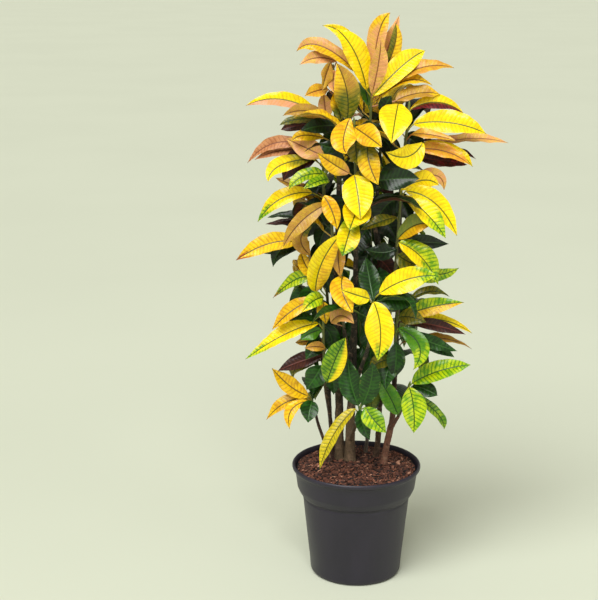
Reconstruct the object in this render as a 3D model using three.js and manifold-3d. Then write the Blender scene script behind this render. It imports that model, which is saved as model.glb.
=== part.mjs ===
// A croton in its nursery pot, about 1.4 m tall: the pot, the bark it is planted in, seven woody
// trunks, and the leafy shoots that the trunks carry.
// Millimetres, +Z up, origin at the middle of the pot's underside, front of the plant towards -Y.
import * as THREE from 'three'
import { mergeVertices } from 'three/addons/utils/BufferGeometryUtils.js'
import Module from 'manifold-3d'

const wasm = await Module()
wasm.setup()

// ---- driving dimensions ------------------------------------------------------------------------

const POT_HEIGHT = 288
const RIM_RADIUS = 162        // outside of the rolled lip
const MOUTH_RADIUS = 155      // inside of the rolled lip
const COLLAR_RADIUS = 153     // top of the straight collar under the lip
const COLLAR_FOOT_RADIUS = 148
const NECK_RADIUS = 134       // narrow ring where the collar meets the body
const FOOT_RADIUS = 114.5
const WALL = 2.6
const FLOOR = 4.5
const POT_SIDES = 32
// Drain notches round the foot; the first stands this share of a step round from +x.
const NOTCH = { count: 3, start: 0.875, width: 28, height: 3.4, depth: 12 }

const BARK_CROWN = 284        // top of the bark at the middle of the pot
const BARK_FALL = 14          // how much lower it lies at the wall
const FOOT_LEVEL = 284        // where the trunks leave the bark
const FOOT_DEPTH = 57         // how far they go down into it
const GAP = 0.3               // between pieces that touch

const EYE = new THREE.Vector3(0, -3380, 1587)   // the place that the plant was read from
const SHOOT_RADIUS = [4.2, 3] // green shoot, at its foot and at its tip
const STALK_RADIUS = [1.7, 1.5]   // leaf stalk, on the shoot and at the blade
const MIDRIB = 0.8            // half the blade's thickness along its midrib
const FOLD = THREE.MathUtils.degToRad(18)       // each half of a blade rises this much
const WAVE = 2.5              // height of the waves along a blade's edge
const STALK_DROP = 18         // a stalk leaves its shoot this much lower than the blade starts
const LONG_STATIONS = [0, 0.12, 0.36, 0.64, 0.88, 1]   // where a blade is cut across, from base to tip
const SHORT_STATIONS = [0, 0.2, 0.6, 0.88, 1]
const LONG_LEAF = 115
const CLEAR = 2               // room kept on both sides of a blade
const FRONT_LIMIT = 0.1       // hidden leaves of the front shoots point away from EYE
const UP = new THREE.Vector3(0, 0, 1)
const TRUNK_SIDES = 8
const BRANCH_SIDES = 5
const SHOOT_SIDES = 4
const GOLDEN_ANGLE = THREE.MathUtils.degToRad(137.508)

// Green shoots from foot to tip, each point as seen from EYE: across and up on the plane y = 0,
// then how far it lies from that plane towards EYE.
const SHOOTS = {
  top_right: [[24, 1000, 8], [24, 1120, 12], [28, 1240, 15]],
  top_left: [[-50, 1000, 4], [-57, 1130, 10], [-64, 1275, 6]],
  right_high: [[100, 1000, 40], [110, 1110, 44], [116, 1190, 38]],
  centre_high: [[-6, 905, 102], [-9, 1020, 108], [-14, 1150, 102]],
  left_high: [[-80, 880, 14], [-85, 980, 20], [-88, 1085, 16]],
  centre_left: [[-58, 800, 87], [-64, 880, 91], [-68, 960, 87]],
  right_mid: [[88, 770, 63], [94, 860, 69], [101, 985, 71]],
  left_mid: [[-100, 690, 55], [-108, 770, 55], [-126, 850, 45]],
  centre_mid: [[26, 590, 122], [32, 660, 128], [38, 714, 134]],
  centre_low: [[-34, 640, 85], [-38, 700, 93], [-40, 775, 100]],
  left_low: [[-78, 478, 24], [-82, 540, 52], [-84, 620, 58], [-86, 702, 64]],
  right_low: [[90, 540, 59], [94, 610, 63], [97, 675, 65]],
  right_bottom: [[104, 412, 40], [118, 450, 46], [130, 496, 56]],
  left_bottom: [[-104, 420, 14], [-110, 440, 18], [-118, 464, 26]],
  centre_bottom: [[2, 396, 75], [6, 418, 79], [10, 438, 83]],
  inner_low: [[10, 560, -14], [8, 630, -6], [6, 700, 0]],
  inner_mid: [[34, 755, -18], [30, 840, -24], [28, 935, -24]],
  back_low: [[22, 560, -100], [27, 661, -106], [26, 782, -104]],
  back_left: [[-68, 620, -92], [-76, 730, -102], [-80, 870, -102]],
  back_right: [[70, 790, -92], [78, 900, -102], [80, 1010, -100]],
  back_high_left: [[-40, 900, -90], [-46, 1010, -98], [-44, 1150, -88]],
  back_high_right: [[44, 1000, -84], [50, 1090, -90], [50, 1200, -80]],
}

// Leaves read by eye, for each shoot: colour, then the places of the blade's base, the middle of its
// midrib and its tip, each across and up as seen from EYE, its width, how far its base and its tip
// lie towards EYE, and how many degrees its face is turned away from EYE.
const LEAVES = {
  top_right: [
    ['yellow', 15, 1222, -14, 1310, -60, 1366, 58, 20, 45, 18],
    ['peach', 28, 1212, 42, 1284, 47, 1338, 42, 30, 70, 5],
    ['orange', 32, 1232, 40, 1346, 68, 1402, 50, 14, 10, -18],
    ['peach', 34, 1232, 67, 1329, 89, 1396, 30, 0, -25, 10],
    ['yellow', 10, 1228, -27, 1334, -90, 1372, 36, 5, -30, 5],
    ['tan', 40, 1236, 77, 1320, 80, 1378, 38, 2, 0, 30],
    ['olive', 38, 1240, 60, 1312, 84, 1376, 26, -6, -15, 50],
    ['yellow', 30, 1208, 97, 1278, 151, 1315, 58, 40, 20, 12],
    ['orange', 42, 1214, 133, 1272, 219, 1275, 43, 12, -4, 38],
    ['gold', 36, 1200, 107, 1244, 169, 1234, 40, 24, 30, 52],
    ['peach', 83, 1197, 136, 1215, 188, 1213, 48, 30, 10, 42],
    ['peach', -4, 1260, -92, 1324, -151, 1312, 38, 22, 15, 25],
  ],
  right_high: [
    ['yellow', 118, 1176, 182, 1194, 244, 1169, 40, 28, 22, 32],
    ['yellow', 126, 1142, 213, 1146, 299, 1121, 62, 36, 50, 22],
    ['orange', 122, 1118, 168, 1117, 229, 1103, 30, 54, 90, 38],
    ['peach', 150, 1086, 257, 1108, 353, 1099, 34, 14, -10, 45],
    ['orange', 128, 1082, 202, 1078, 263, 1046, 36, 50, 70, 28],
    ['maroon', 122, 1066, 193, 1055, 257, 1046, 38, 28, 30, 30],
    ['yellow', 134, 1094, 217, 1081, 270, 1041, 34, 22, 30, 34],
    ['maroon', 130, 1100, 212, 1088, 277, 1060, 30, 0, -10, 55],
    ['dark', 56, 1169, 61, 1189, 74, 1210, 36, 50, 70, 0],
    ['yellow', 90, 1190, 83, 1150, 76, 1096, 76, 56, 128, 0],
    ['yellow', 150, 1099, 114, 1065, 62, 1076, 58, 76, 122, 0],
  ],
  centre_high: [
    ['gold', -12, 1134, 23, 1110, 53, 1087, 56, 122, 190, 8],
    ['gold', -24, 1156, -39, 1102, -30, 1071, 58, 118, 172, 0],
    ['gold', 20, 1096, 23, 1050, 46, 996, 56, 128, 168, 0],
    ['olive', -6, 1130, -9, 1088, -3, 1044, 50, 116, 142, 0],
    ['gold', -24, 1024, -60, 1045, -101, 1073, 44, 136, 156, -18],
    ['yellow', -12, 1020, -2, 966, 4, 911, 78, 136, 190, 0],
    ['yellow', 8, 962, -8, 926, -22, 884, 70, 122, 202, 0],
    ['yellow', -12, 918, -27, 864, -39, 820, 58, 138, 210, 0],
    ['gold', -2, 1030, 10, 1012, 28, 998, 32, 120, 146, 0],
    ['dark', 0, 1046, 15, 1026, 42, 990, 36, 116, 134, 0],
    ['dark', 34, 1004, 90, 1012, 144, 1012, 56, 120, 140, 0],
    ['dark', -38, 1098, -66, 1086, -96, 1096, 42, 110, 120, 0],
  ],
  top_left: [
    ['peach', -56, 1289, -101, 1297, -143, 1281, 32, 12, 70, 18],
    ['tan', -70, 1288, -82, 1256, -90, 1221, 32, 24, 78, 30],
    ['peach', -60, 1268, -64, 1244, -61, 1214, 34, 26, 80, 0],
    ['orange', -76, 1224, -102, 1220, -131, 1208, 34, 24, 70, 15],
    ['tan', -74, 1150, -128, 1172, -183, 1161, 36, 26, 60, 20],
    ['yellow', -30, 1150, -32, 1222, -57, 1286, 62, 46, 66, 0],
    ['olive', -44, 1150, -51, 1190, -55, 1229, 38, 38, 46, 0],
    ['yellow', -92, 1160, -184, 1199, -271, 1184, 38, 4, -4, 18],
    ['olive', -86, 1150, -147, 1152, -191, 1138, 28, 18, 30, 32],
    ['maroon', -84, 1140, -144, 1138, -188, 1127, 34, 8, 10, 22],
    ['dark', -56, 1138, -99, 1136, -141, 1125, 38, 36, 70, 8],
    ['gold', -84, 1108, -134, 1114, -163, 1099, 30, 22, 50, 16],
    ['peach', -80, 1153, -83, 1183, -87, 1217, 36, 30, 46, 0],
  ],
  left_high: [
    ['peach', -86, 1064, -125, 1083, -177, 1107, 50, 40, 20, 5],
    ['tan', -110, 1082, -198, 1096, -268, 1047, 34, 10, 0, 22],
    ['tan', -110, 1074, -182, 1078, -251, 1055, 32, -2, 4, 22],
    ['maroon', -104, 1056, -160, 1068, -216, 1076, 34, -4, -14, 50],
    ['yellow', -112, 1058, -190, 1041, -219, 1002, 44, 26, 76, 18],
    ['maroon', -98, 1064, -150, 1048, -183, 1004, 60, 12, 20, 15],
    ['lime', -78, 1020, -133, 1016, -169, 984, 38, 44, 76, 30],
    ['lime', -72, 1006, -97, 1004, -136, 984, 30, 50, 96, 28],
    ['tan', -120, 990, -166, 998, -201, 1012, 24, -12, -40, 30],
    ['yellow', -112, 976, -187, 961, -245, 903, 44, 30, 56, 22],
    ['dark', -98, 904, -168, 919, -221, 914, 28, -10, -40, 42],
    ['maroon', -98, 890, -168, 900, -226, 898, 28, -22, -60, 42],
  ],
  centre_left: [
    ['tan', -74, 950, -138, 906, -183, 842, 44, 99, 123, 8],
    ['gold', -86, 968, -66, 934, -52, 886, 42, 95, 125, 0],
    ['tan', -50, 852, -49, 812, -43, 766, 34, 101, 121, 0],
  ],
  left_mid: [
    ['tan', -118, 822, -140, 862, -112, 894, 42, 61, 75, 0],
    ['gold', -146, 853, -216, 850, -299, 807, 52, 51, 61, 18],
    ['dark', -140, 840, -186, 836, -208, 792, 40, 33, 45, 10],
    ['dark', -136, 846, -188, 832, -236, 826, 26, 23, 5, 50],
    ['gold', -104, 764, -130, 800, -138, 830, 38, 41, 35, 0],
    ['yellow', -104, 730, -88, 805, -40, 878, 62, 81, 127, 0],
    ['lime', -84, 716, -110, 706, -138, 677, 38, 87, 143, 5],
    ['gold', -102, 712, -158, 684, -211, 633, 44, 67, 85, 20],
    ['lime', -104, 762, -149, 762, -209, 713, 34, 37, 19, 18],
  ],
  centre_low: [
    ['gold', -38, 770, -37, 728, -12, 677, 62, 111, 167, 0],
    ['peach', -66, 652, -40, 670, -9, 650, 44, 105, 149, 20],
  ],
  left_low: [
    ['gold', -84, 704, -83, 680, -78, 648, 34, 74, 108, 0],
    ['yellow', -96, 650, -177, 622, -278, 555, 46, 64, 74, 28],
    ['dark', -94, 654, -134, 664, -175, 655, 26, 46, 32, 42],
    ['green', -90, 634, -118, 624, -141, 606, 36, 58, 78, 0],
    ['tan', -90, 612, -126, 604, -154, 600, 24, 42, 46, 10],
    ['tan', -80, 586, -102, 590, -131, 586, 26, 62, 78, 10],
    ['maroon', -84, 568, -139, 552, -197, 526, 42, 42, 38, 22],
    ['olive', -90, 556, -140, 546, -160, 512, 36, 32, 42, 10],
    ['dark', -88, 542, -104, 512, -126, 478, 54, 52, 60, 0],
    ['lime', -75, 498, -54, 560, -29, 615, 62, 74, 104, 0],
  ],
  centre_mid: [
    ['dark', 38, 712, 28, 760, 18, 818, 56, 140, 94, 0],
    ['yellow', 52, 727, 121, 764, 193, 773, 62, 144, 160, 12],
    ['yellow', 38, 706, 56, 638, 50, 555, 72, 152, 180, 0],
    ['yellow', 28, 714, 0, 722, -42, 736, 40, 142, 160, 0],
    ['dark', 48, 710, 96, 712, 149, 708, 54, 134, 132, 0],
  ],
  right_mid: [
    ['yellow', 97, 856, 153, 818, 195, 751, 62, 87, 101, 26],
    ['dark', 102, 857, 156, 857, 218, 853, 36, 75, 29, 2],
    ['olive', 95, 864, 136, 898, 184, 901, 52, 75, 119, 22],
    ['yellow', 100, 984, 152, 1008, 191, 996, 44, 75, 55, 15],
    ['yellow', 112, 982, 184, 951, 237, 873, 56, 79, 93, 14],
    ['yellow', 110, 970, 166, 923, 210, 867, 54, 93, 109, 28],
    ['peach', 118, 1004, 182, 1020, 203, 985, 34, 45, 45, 15],
    ['olive', 92, 918, 50, 905, 3, 885, 32, 77, 105, 30],
    ['dark', 92, 840, 56, 830, 16, 838, 44, 75, 85, 15],
    ['lime', 96, 800, 179, 777, 244, 794, 42, 61, 35, -24],
    ['olive', 94, 826, 114, 812, 142, 800, 42, 75, 75, 0],
    ['dark', 92, 960, 64, 944, 40, 900, 66, 71, 65, 0],
  ],
  right_low: [
    ['lime', 106, 668, 180, 695, 259, 707, 44, 75, 81, 12],
    ['maroon', 104, 657, 185, 649, 265, 626, 32, 61, 51, 14],
    ['olive', 100, 668, 132, 668, 168, 655, 40, 81, 87, 10],
    ['yellow', 120, 652, 202, 662, 281, 629, 32, 41, 41, 32],
    ['lime', 99, 640, 152, 596, 139, 533, 50, 89, 127, 8],
    ['dark', 108, 636, 182, 604, 246, 583, 34, 65, 69, 15],
    ['dark', 106, 616, 188, 594, 239, 567, 30, 55, 53, 10],
    ['tan', 110, 604, 204, 615, 281, 589, 26, 35, 19, 48],
    ['dark', 94, 604, 96, 560, 90, 508, 46, 75, 91, 0],
    ['olive', 88, 560, 56, 552, 30, 532, 40, 71, 95, 15],
    ['olive', 100, 690, 167, 732, 223, 721, 30, 55, 49, 48],
  ],
  right_bottom: [
    ['lime', 136, 498, 203, 531, 280, 548, 58, 62, 74, 20],
    ['dark', 138, 492, 172, 482, 200, 467, 44, 46, 66, 5],
    ['yellow', 130, 488, 142, 430, 143, 368, 64, 76, 106, 0],
    ['green', 134, 470, 198, 423, 219, 379, 30, 40, 44, 28],
    ['green', 102, 416, 80, 466, 45, 523, 50, 46, 66, 0],
  ],
  left_bottom: [
    ['gold', -121, 462, -166, 486, -212, 533, 48, 34, 44, 10],
    ['gold', -122, 455, -178, 443, -227, 397, 36, 26, 30, 28],
    ['gold', -122, 448, -164, 423, -168, 373, 30, 40, 70, 10],
    ['dark', -112, 448, -118, 424, -122, 391, 48, 34, 66, 0],
  ],
  inner_mid: [
    ['dark', 30, 950, 66, 946, 108, 916, 56, -10, 30, 0],
    ['dark', 32, 930, 70, 902, 94, 852, 60, -4, 44, 0],
    ['dark', 24, 940, 4, 924, -18, 884, 54, -10, 30, 0],
    ['dark', 24, 890, 2, 860, -10, 812, 58, 22, 60, 0],
    ['dark', 28, 850, 18, 806, 4, 762, 54, 24, 50, 0],
    ['maroon', 36, 822, 66, 800, 90, 762, 46, 16, 34, 10],
    ['dark', 38, 790, 62, 750, 66, 700, 54, 16, 40, 0],
    ['dark', 28, 782, 4, 748, -8, 700, 54, 14, 30, 0],
  ],
  inner_low: [
    ['dark', 4, 704, -20, 676, -34, 630, 56, 10, 40, 0],
    ['dark', 10, 700, 30, 664, 36, 616, 56, 14, 44, 0],
    ['dark', 2, 690, 2, 640, 6, 588, 52, 4, 30, 0],
    ['dark', 12, 656, 34, 616, 30, 562, 58, 10, 30, 0],
    ['dark', 12, 600, 24, 556, 26, 500, 52, 14, 50, 0],
    ['dark', 14, 606, 34, 560, 44, 506, 56, 2, 20, 0],
  ],
  centre_bottom: [
    ['lime', 22, 434, 42, 402, 75, 367, 52, 97, 129, 0],
    ['yellow', -4, 430, -57, 360, -92, 267, 44, 91, 137, 36],
    ['dark', 8, 428, 15, 390, 34, 347, 38, 85, 95, 0],
    ['dark', 4, 438, -16, 500, -22, 560, 60, 81, 65, 0],
    ['dark', 14, 440, 34, 500, 36, 552, 56, 79, 69, 0],
  ],
}

// Dark leaves deeper in the crown, in the gaps between those, read in the same way.
const INNER_LEAVES = {
  left_high: [
    ['dark', -84, 906, -112, 896, -146, 858, 50, 4, -16, 10],
    ['dark', -80, 985, -108, 990, -136, 964, 44, 4, -14, 10],
    ['dark', -74, 962, -52, 940, -40, 896, 50, 10, 20, 0],
    ['dark', -78, 1070, -60, 1060, -38, 1010, 48, 6, 20, 0],
  ],
  left_mid: [
    ['dark', -108, 792, -84, 772, -70, 726, 46, 40, 30, 0],
    ['dark', -104, 740, -122, 716, -128, 668, 44, 36, 40, 0],
  ],
  centre_left: [
    ['dark', -62, 902, -84, 880, -98, 836, 48, 60, 40, 0],
    ['dark', -56, 830, -70, 800, -66, 752, 50, 60, 44, 0],
  ],
  left_low: [
    ['dark', -84, 640, -66, 616, -62, 566, 50, 34, 24, 0],
    ['dark', -80, 540, -62, 514, -58, 466, 50, 30, 30, 0],
    ['dark', -84, 600, -104, 590, -128, 556, 46, 24, 10, 0],
  ],
  inner_low: [
    ['dark', 2, 640, -32, 622, -52, 574, 54, 4, 20, 0],
    ['dark', 0, 612, -28, 586, -44, 532, 54, 0, 16, 0],
    ['dark', 4, 574, -12, 532, -40, 486, 54, 0, 24, 0],
    ['dark', 14, 580, 44, 560, 62, 514, 50, -6, 4, 0],
  ],
  right_low: [
    ['dark', 92, 560, 74, 530, 72, 480, 50, 40, 30, 0],
    ['dark', 96, 640, 66, 628, 52, 580, 50, 40, 24, 0],
  ],
  right_high: [
    ['dark', 102, 1030, 74, 1024, 52, 986, 50, 20, 10, 0],
    ['dark', 106, 1110, 130, 1100, 146, 1062, 46, 20, 10, 0],
  ],
  back_low: [
    ['dark', 24, 604, 52, 576, 66, 524, 52, -90, -70, 0],
    ['dark', 22, 584, -4, 548, -14, 492, 54, -90, -70, 0],
    ['dark', 26, 670, 56, 646, 74, 598, 52, -90, -70, 0],
    ['dark', 24, 700, -2, 680, -22, 632, 54, -90, -70, 0],
    ['dark', 26, 770, 4, 748, -14, 700, 52, -90, -70, 0],
  ],
  back_left: [
    ['dark', -70, 790, -48, 760, -34, 706, 54, -84, -60, 0],
    ['dark', -72, 704, -90, 668, -98, 616, 52, -84, -64, 0],
    ['dark', -70, 664, -50, 626, -46, 572, 54, -84, -64, 0],
    ['dark', -78, 850, -96, 824, -106, 776, 50, -84, -66, 0],
    ['dark', -78, 860, -50, 848, -30, 800, 50, -84, -62, 0],
  ],
  back_right: [
    ['dark', 74, 862, 102, 840, 118, 790, 52, -84, -66, 0],
    ['dark', 76, 922, 52, 896, 42, 842, 52, -84, -66, 0],
    ['dark', 78, 970, 106, 950, 124, 902, 50, -84, -70, 0],
    ['dark', 72, 820, 60, 784, 70, 730, 50, -84, -66, 0],
  ],
  back_high_left: [
    ['dark', -42, 964, -70, 940, -82, 888, 52, -80, -66, 0],
    ['dark', -44, 1044, -18, 1020, -10, 968, 54, -80, -60, 0],
    ['dark', -44, 934, -22, 900, -20, 846, 54, -80, -60, 0],
    ['dark', -44, 1110, -72, 1094, -92, 1046, 52, -80, -66, 0],
  ],
  back_high_right: [
    ['dark', 46, 1064, 24, 1036, 18, 984, 52, -76, -60, 0],
    ['dark', 48, 1160, 22, 1142, 4, 1096, 52, -70, -56, 0],
    ['dark', 50, 1184, 80, 1168, 100, 1122, 48, -70, -56, 0],
    ['dark', 48, 1110, 72, 1086, 84, 1036, 50, -74, -60, 0],
  ],
}

// Trunks: foot is its place across and back on the ground, and its radius. Each branch is a line of
// points as seen from EYE, across, up, towards EYE and radius, and ends where its shoot starts. The
// first branch goes on from the foot.
const TRUNKS = {
  trunk_1: {
    foot: [-66, 12, 5],
    branches: [
      [[-73, 322, -16, 4.5], [-84, 352, -8, 4], [-97, 390, 6, 3.8], [-104, 420, 14, 3.5]],
    ],
  },
  trunk_2: {
    foot: [-56, 62, 6.5],
    branches: [
      [[-61, 345, -54, 6], [-67, 410, -34, 5], [-78, 478, 24, 4]],
      [[-67, 410, -34, 5], [-80, 520, -18, 4.5], [-96, 610, 26, 4], [-100, 690, 55, 4]],
      [[-67, 410, -34, 5], [-70, 510, -64, 4.5], [-68, 620, -92, 4]],
    ],
  },
  trunk_3: {
    foot: [-41, 40, 12.5],
    branches: [
      [[-44, 345, -40, 11.5], [-44, 430, -30, 10.5], [-47, 560, -14, 8.5], [-51, 720, -2, 6.5],
        [-52, 860, 3, 5.5], [-50, 1000, 4, 4.5]],
      [[-49, 640, -8, 6], [-66, 760, 2, 5], [-80, 880, 14, 4.5]],
      [[-47, 560, -14, 6], [-52, 690, 50, 5], [-58, 800, 87, 4.5]],
      [[-51, 720, -2, 6], [-44, 810, -52, 5], [-40, 900, -90, 4.5]],
    ],
  },
  trunk_4: {
    foot: [-15, 26, 13],
    branches: [
      [[-17, 345, -28, 12], [-14, 430, -14, 11], [-11, 560, 18, 9], [-7, 720, 56, 6.5], [-6, 905, 102, 4.5]],
      [[-17, 345, -28, 6], [-8, 372, 26, 5], [2, 396, 75, 4]],
      [[-12, 520, 8, 6], [-25, 585, 50, 5], [-34, 640, 85, 4.5]],
      [[-13, 470, -8, 6], [8, 532, 66, 5], [26, 590, 122, 4.5]],
    ],
  },
  trunk_5: {
    foot: [24, 88, 4.5],
    branches: [
      [[27, 360, -88, 4.5], [24, 460, -94, 4], [22, 560, -100, 4]],
      [[24, 440, -91, 4], [18, 500, -48, 4], [10, 560, -14, 4]],
    ],
  },
  trunk_6: {
    foot: [50, 56, 7.5],
    branches: [
      [[54, 350, -54, 7], [58, 480, -38, 6.5], [60, 620, -16, 6], [54, 790, -4, 5.5],
        [38, 900, 2, 5], [24, 1000, 8, 4.5]],
      [[57, 440, -44, 6], [74, 490, 2, 5], [90, 540, 59, 4]],
      [[60, 620, -16, 6], [76, 700, 30, 5], [88, 770, 63, 4.5]],
      [[60, 620, -16, 6], [68, 710, -56, 5], [70, 790, -92, 4.5]],
      [[60, 640, -15, 5], [46, 700, -18, 4.5], [34, 755, -18, 4]],
      [[54, 790, -4, 5], [46, 900, -48, 4.5], [44, 1000, -84, 4]],
    ],
  },
  trunk_7: {
    foot: [69, 8, 8.5],
    branches: [
      [[76, 335, -12, 8], [84, 376, -10, 8], [90, 420, -6, 7], [96, 620, 2, 6],
        [99, 800, 20, 5], [100, 1000, 40, 4.5]],
      [[84, 376, -10, 6], [96, 398, 16, 5], [104, 412, 40, 4]],
    ],
  },
}

// How many leaves each shoot has where the others hide them.
const RULE_COUNT = {
  top_right: 5, top_left: 6, right_high: 7, centre_high: 6, left_high: 7, centre_left: 6,
  right_mid: 3, left_mid: 6, centre_mid: 4, centre_low: 3, left_low: 3, right_low: 5,
  right_bottom: 2, left_bottom: 3, centre_bottom: 1, back_low: 14, back_left: 15, back_right: 15,
  back_high_left: 14, back_high_right: 13, inner_low: 2, inner_mid: 3,
}

const COLOUR = {
  yellow: 0xf0d81c, gold: 0xdca722, orange: 0xe0933c, peach: 0xe0aa74, tan: 0xb58745,
  lime: 0x9cbc2c, green: 0x4f8220, dark: 0x1a3219, maroon: 0x3a1419, olive: 0x82822a,
}

// ---- places ------------------------------------------------------------------------------------

// A point as seen from EYE, made a point in space.
function seen(x, z, toward) {
  const onPlane = new THREE.Vector3(x, 0, z)
  return EYE.clone().sub(onPlane).normalize().multiplyScalar(toward).add(onPlane)
}

function mix(points, weights) {
  const sum = new THREE.Vector3()
  points.forEach((point, i) => sum.addScaledVector(point, weights[i]))
  return sum
}

// A smooth line through points: between each two of them a uniform Catmull-Rom span is cut in steps.
// before and after are the neighbours past its two ends.
function smooth(points, radii, before, after, steps) {
  const all = [before, ...points, after]
  const line = []
  for (let i = 0; i < points.length - 1; i++) {
    for (let k = 0; k < steps; k++) {
      const t = k / steps
      const weights = [
        (-t + 2 * t * t - t ** 3) / 2,
        (2 - 5 * t * t + 3 * t ** 3) / 2,
        (t + 4 * t * t - 3 * t ** 3) / 2,
        (-t * t + t ** 3) / 2,
      ]
      line.push({ at: mix(all.slice(i, i + 4), weights), radius: radii[i] + (radii[i + 1] - radii[i]) * t })
    }
  }
  line.push({ at: points.at(-1).clone(), radius: radii.at(-1) })
  return line
}

// ---- solids ------------------------------------------------------------------------------------

function solid(geometry) {
  const bare = geometry.index ? geometry.toNonIndexed() : geometry
  bare.deleteAttribute('normal')
  bare.deleteAttribute('uv')
  const merged = mergeVertices(bare, 1e-4)
  const mesh = new wasm.Mesh({
    numProp: 3,
    vertProperties: Float32Array.from(merged.attributes.position.array),
    triVerts: Uint32Array.from(merged.index.array),
  })
  mesh.merge()
  return new wasm.Manifold(mesh)
}

function named(name, manifold, colour, roughness) {
  const mesh = manifold.getMesh()
  const geometry = new THREE.BufferGeometry()
  geometry.setAttribute('position', new THREE.BufferAttribute(Float32Array.from(mesh.vertProperties), 3))
  geometry.setIndex(new THREE.BufferAttribute(Uint32Array.from(mesh.triVerts), 1))
  geometry.computeVertexNormals()
  const material = new THREE.MeshStandardMaterial({ color: colour, roughness, metalness: 0 })
  const piece = new THREE.Mesh(geometry, material)
  piece.name = name
  return piece
}

// A closed skin over rings of points that all have the same number of points. It ends in a flat
// face, or in a point where one is given. Seen from its far end, each ring runs against the clock.
// A pointed skin is flat: the second half of its rings lies under the first, and is split alike.
function skin(rings, point) {
  const sides = rings[0].length
  const positions = rings.flat().flatMap((point) => [point.x, point.y, point.z])
  const index = []
  for (let i = 0; i < rings.length - 1; i++) {
    for (let k = 0; k < sides; k++) {
      const a = i * sides + k
      const b = i * sides + ((k + 1) % sides)
      if (point && k >= sides / 2) index.push(a, b, a + sides, b, b + sides, a + sides)
      else index.push(a, b, b + sides, a, b + sides, a + sides)
    }
  }
  const last = (rings.length - 1) * sides
  for (let k = 1; k < sides - 1; k++) {
    index.push(0, k + 1, k)
    if (!point) index.push(last, last + k, last + k + 1)
  }
  if (point) {
    positions.push(point.x, point.y, point.z)
    for (let k = 0; k < sides; k++) index.push(last + k, last + ((k + 1) % sides), last + sides)
  }
  const geometry = new THREE.BufferGeometry()
  geometry.setAttribute('position', new THREE.Float32BufferAttribute(positions, 3))
  geometry.setIndex(index)
  return solid(geometry)
}

function roundRing({ at, radius }, sides, along) {
  const across = new THREE.Vector3(0, 1, 0).cross(along).normalize()
  const away = along.clone().cross(across)
  return Array.from({ length: sides }, (_, k) => {
    const turn = (2 * Math.PI * (k + 0.5)) / sides
    return mix([at, across, away], [1, radius * Math.cos(turn), radius * Math.sin(turn)])
  })
}

// A round limb along a line. Its rings lie square to the line, and its end rings to the directions
// given.
function limb(line, sides, startDirection, endDirection) {
  const last = line.length - 1
  const rings = line.map(({ at, radius }, i) => {
    let along = line[Math.min(i + 1, last)].at.clone().sub(line[Math.max(i - 1, 0)].at).normalize()
    if (i === 0 && startDirection) along = startDirection
    if (i === last && endDirection) along = endDirection
    return roundRing({ at, radius }, sides, along)
  })
  return skin(rings)
}

// The same with all its rings square to one direction, so that its faces are flat.
const straightLimb = (line, sides, direction) => skin(line.map((ring) => roundRing(ring, sides, direction)))

function turned(profile) {
  const points = profile.map(([radius, height]) => new THREE.Vector2(radius, height))
  return solid(new THREE.LatheGeometry(points, POT_SIDES).rotateX(Math.PI / 2))
}

// ---- pot and bark ------------------------------------------------------------------------------

// Inside of the pot from the mouth down to the floor.
const INSIDE = [
  [MOUTH_RADIUS, 285],
  [COLLAR_RADIUS - WALL, 266],
  [COLLAR_FOOT_RADIUS - WALL, 228],
  [NECK_RADIUS - WALL, 203],
  [FOOT_RADIUS - WALL, 11],
  [106, FLOOR],
]

function pot() {
  const outside = [
    [0, 0],
    [FOOT_RADIUS - 10, 0],
    [FOOT_RADIUS - 3, 2.4],
    [FOOT_RADIUS, 9],
    [FOOT_RADIUS + 1.5, 30],
    [NECK_RADIUS, 199],
    [NECK_RADIUS + 2, 204],
    [141, 211],
    [COLLAR_FOOT_RADIUS, 228],
    [COLLAR_RADIUS, 265],
    [COLLAR_RADIUS + 2.5, 273.5],
    [RIM_RADIUS - 1.5, 276.5],
    [RIM_RADIUS, 281],
    [RIM_RADIUS - 1, 285.5],
    [RIM_RADIUS - 3.8, POT_HEIGHT],
  ]
  let shell = turned([...outside, ...INSIDE, [0, FLOOR]])
  for (let i = 0; i < NOTCH.count; i++) {
    const cutter = new THREE.BoxGeometry(2 * NOTCH.depth, NOTCH.width, 2 * NOTCH.height)
    cutter.translate(FOOT_RADIUS, 0, 0)
    cutter.rotateZ((2 * Math.PI * (i + NOTCH.start)) / NOTCH.count)
    shell = shell.subtract(solid(cutter))
  }
  return named('pot', shell, 0x3b383c, 0.42)
}

const barkHeight = (radius) => BARK_CROWN - BARK_FALL * (radius / 150) ** 2

function bark() {
  const wall = INSIDE.slice(1).reverse().map(([radius, height]) => [radius - GAP, height + GAP / 2])
  wall[0][1] = FLOOR + GAP
  const edge = COLLAR_RADIUS - WALL - GAP
  const top = [edge, 105, 52].map((radius) => [radius, barkHeight(radius)])
  let bed = turned([[0, FLOOR + GAP], ...wall, ...top, [0, BARK_CROWN]])
  for (const { foot: [x, y, radius] } of Object.values(TRUNKS)) {
    const hole = [FOOT_LEVEL - FOOT_DEPTH - GAP, FOOT_LEVEL + 20].map((z) => ({
      at: new THREE.Vector3(x, y, z),
      radius: radius + 1.1 * GAP,
    }))
    bed = bed.subtract(limb(hole, TRUNK_SIDES, UP, UP))
  }
  return named('bark', bed, 0x4a2c1d, 0.95)
}

// ---- trunks ------------------------------------------------------------------------------------

const shootPoints = (name) => SHOOTS[name].map((point) => seen(...point))

// The shoot that starts where this branch ends.
function shootOn(branch) {
  const [x, z, toward] = branch.at(-1)
  return Object.keys(SHOOTS).find((name) => SHOOTS[name][0].join() === [x, z, toward].join())
}

// Which way a branch and its shoot run where they meet.
function joinDirection(points, shoot) {
  return shoot[1].clone().sub(points.at(-2)).normalize()
}

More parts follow.
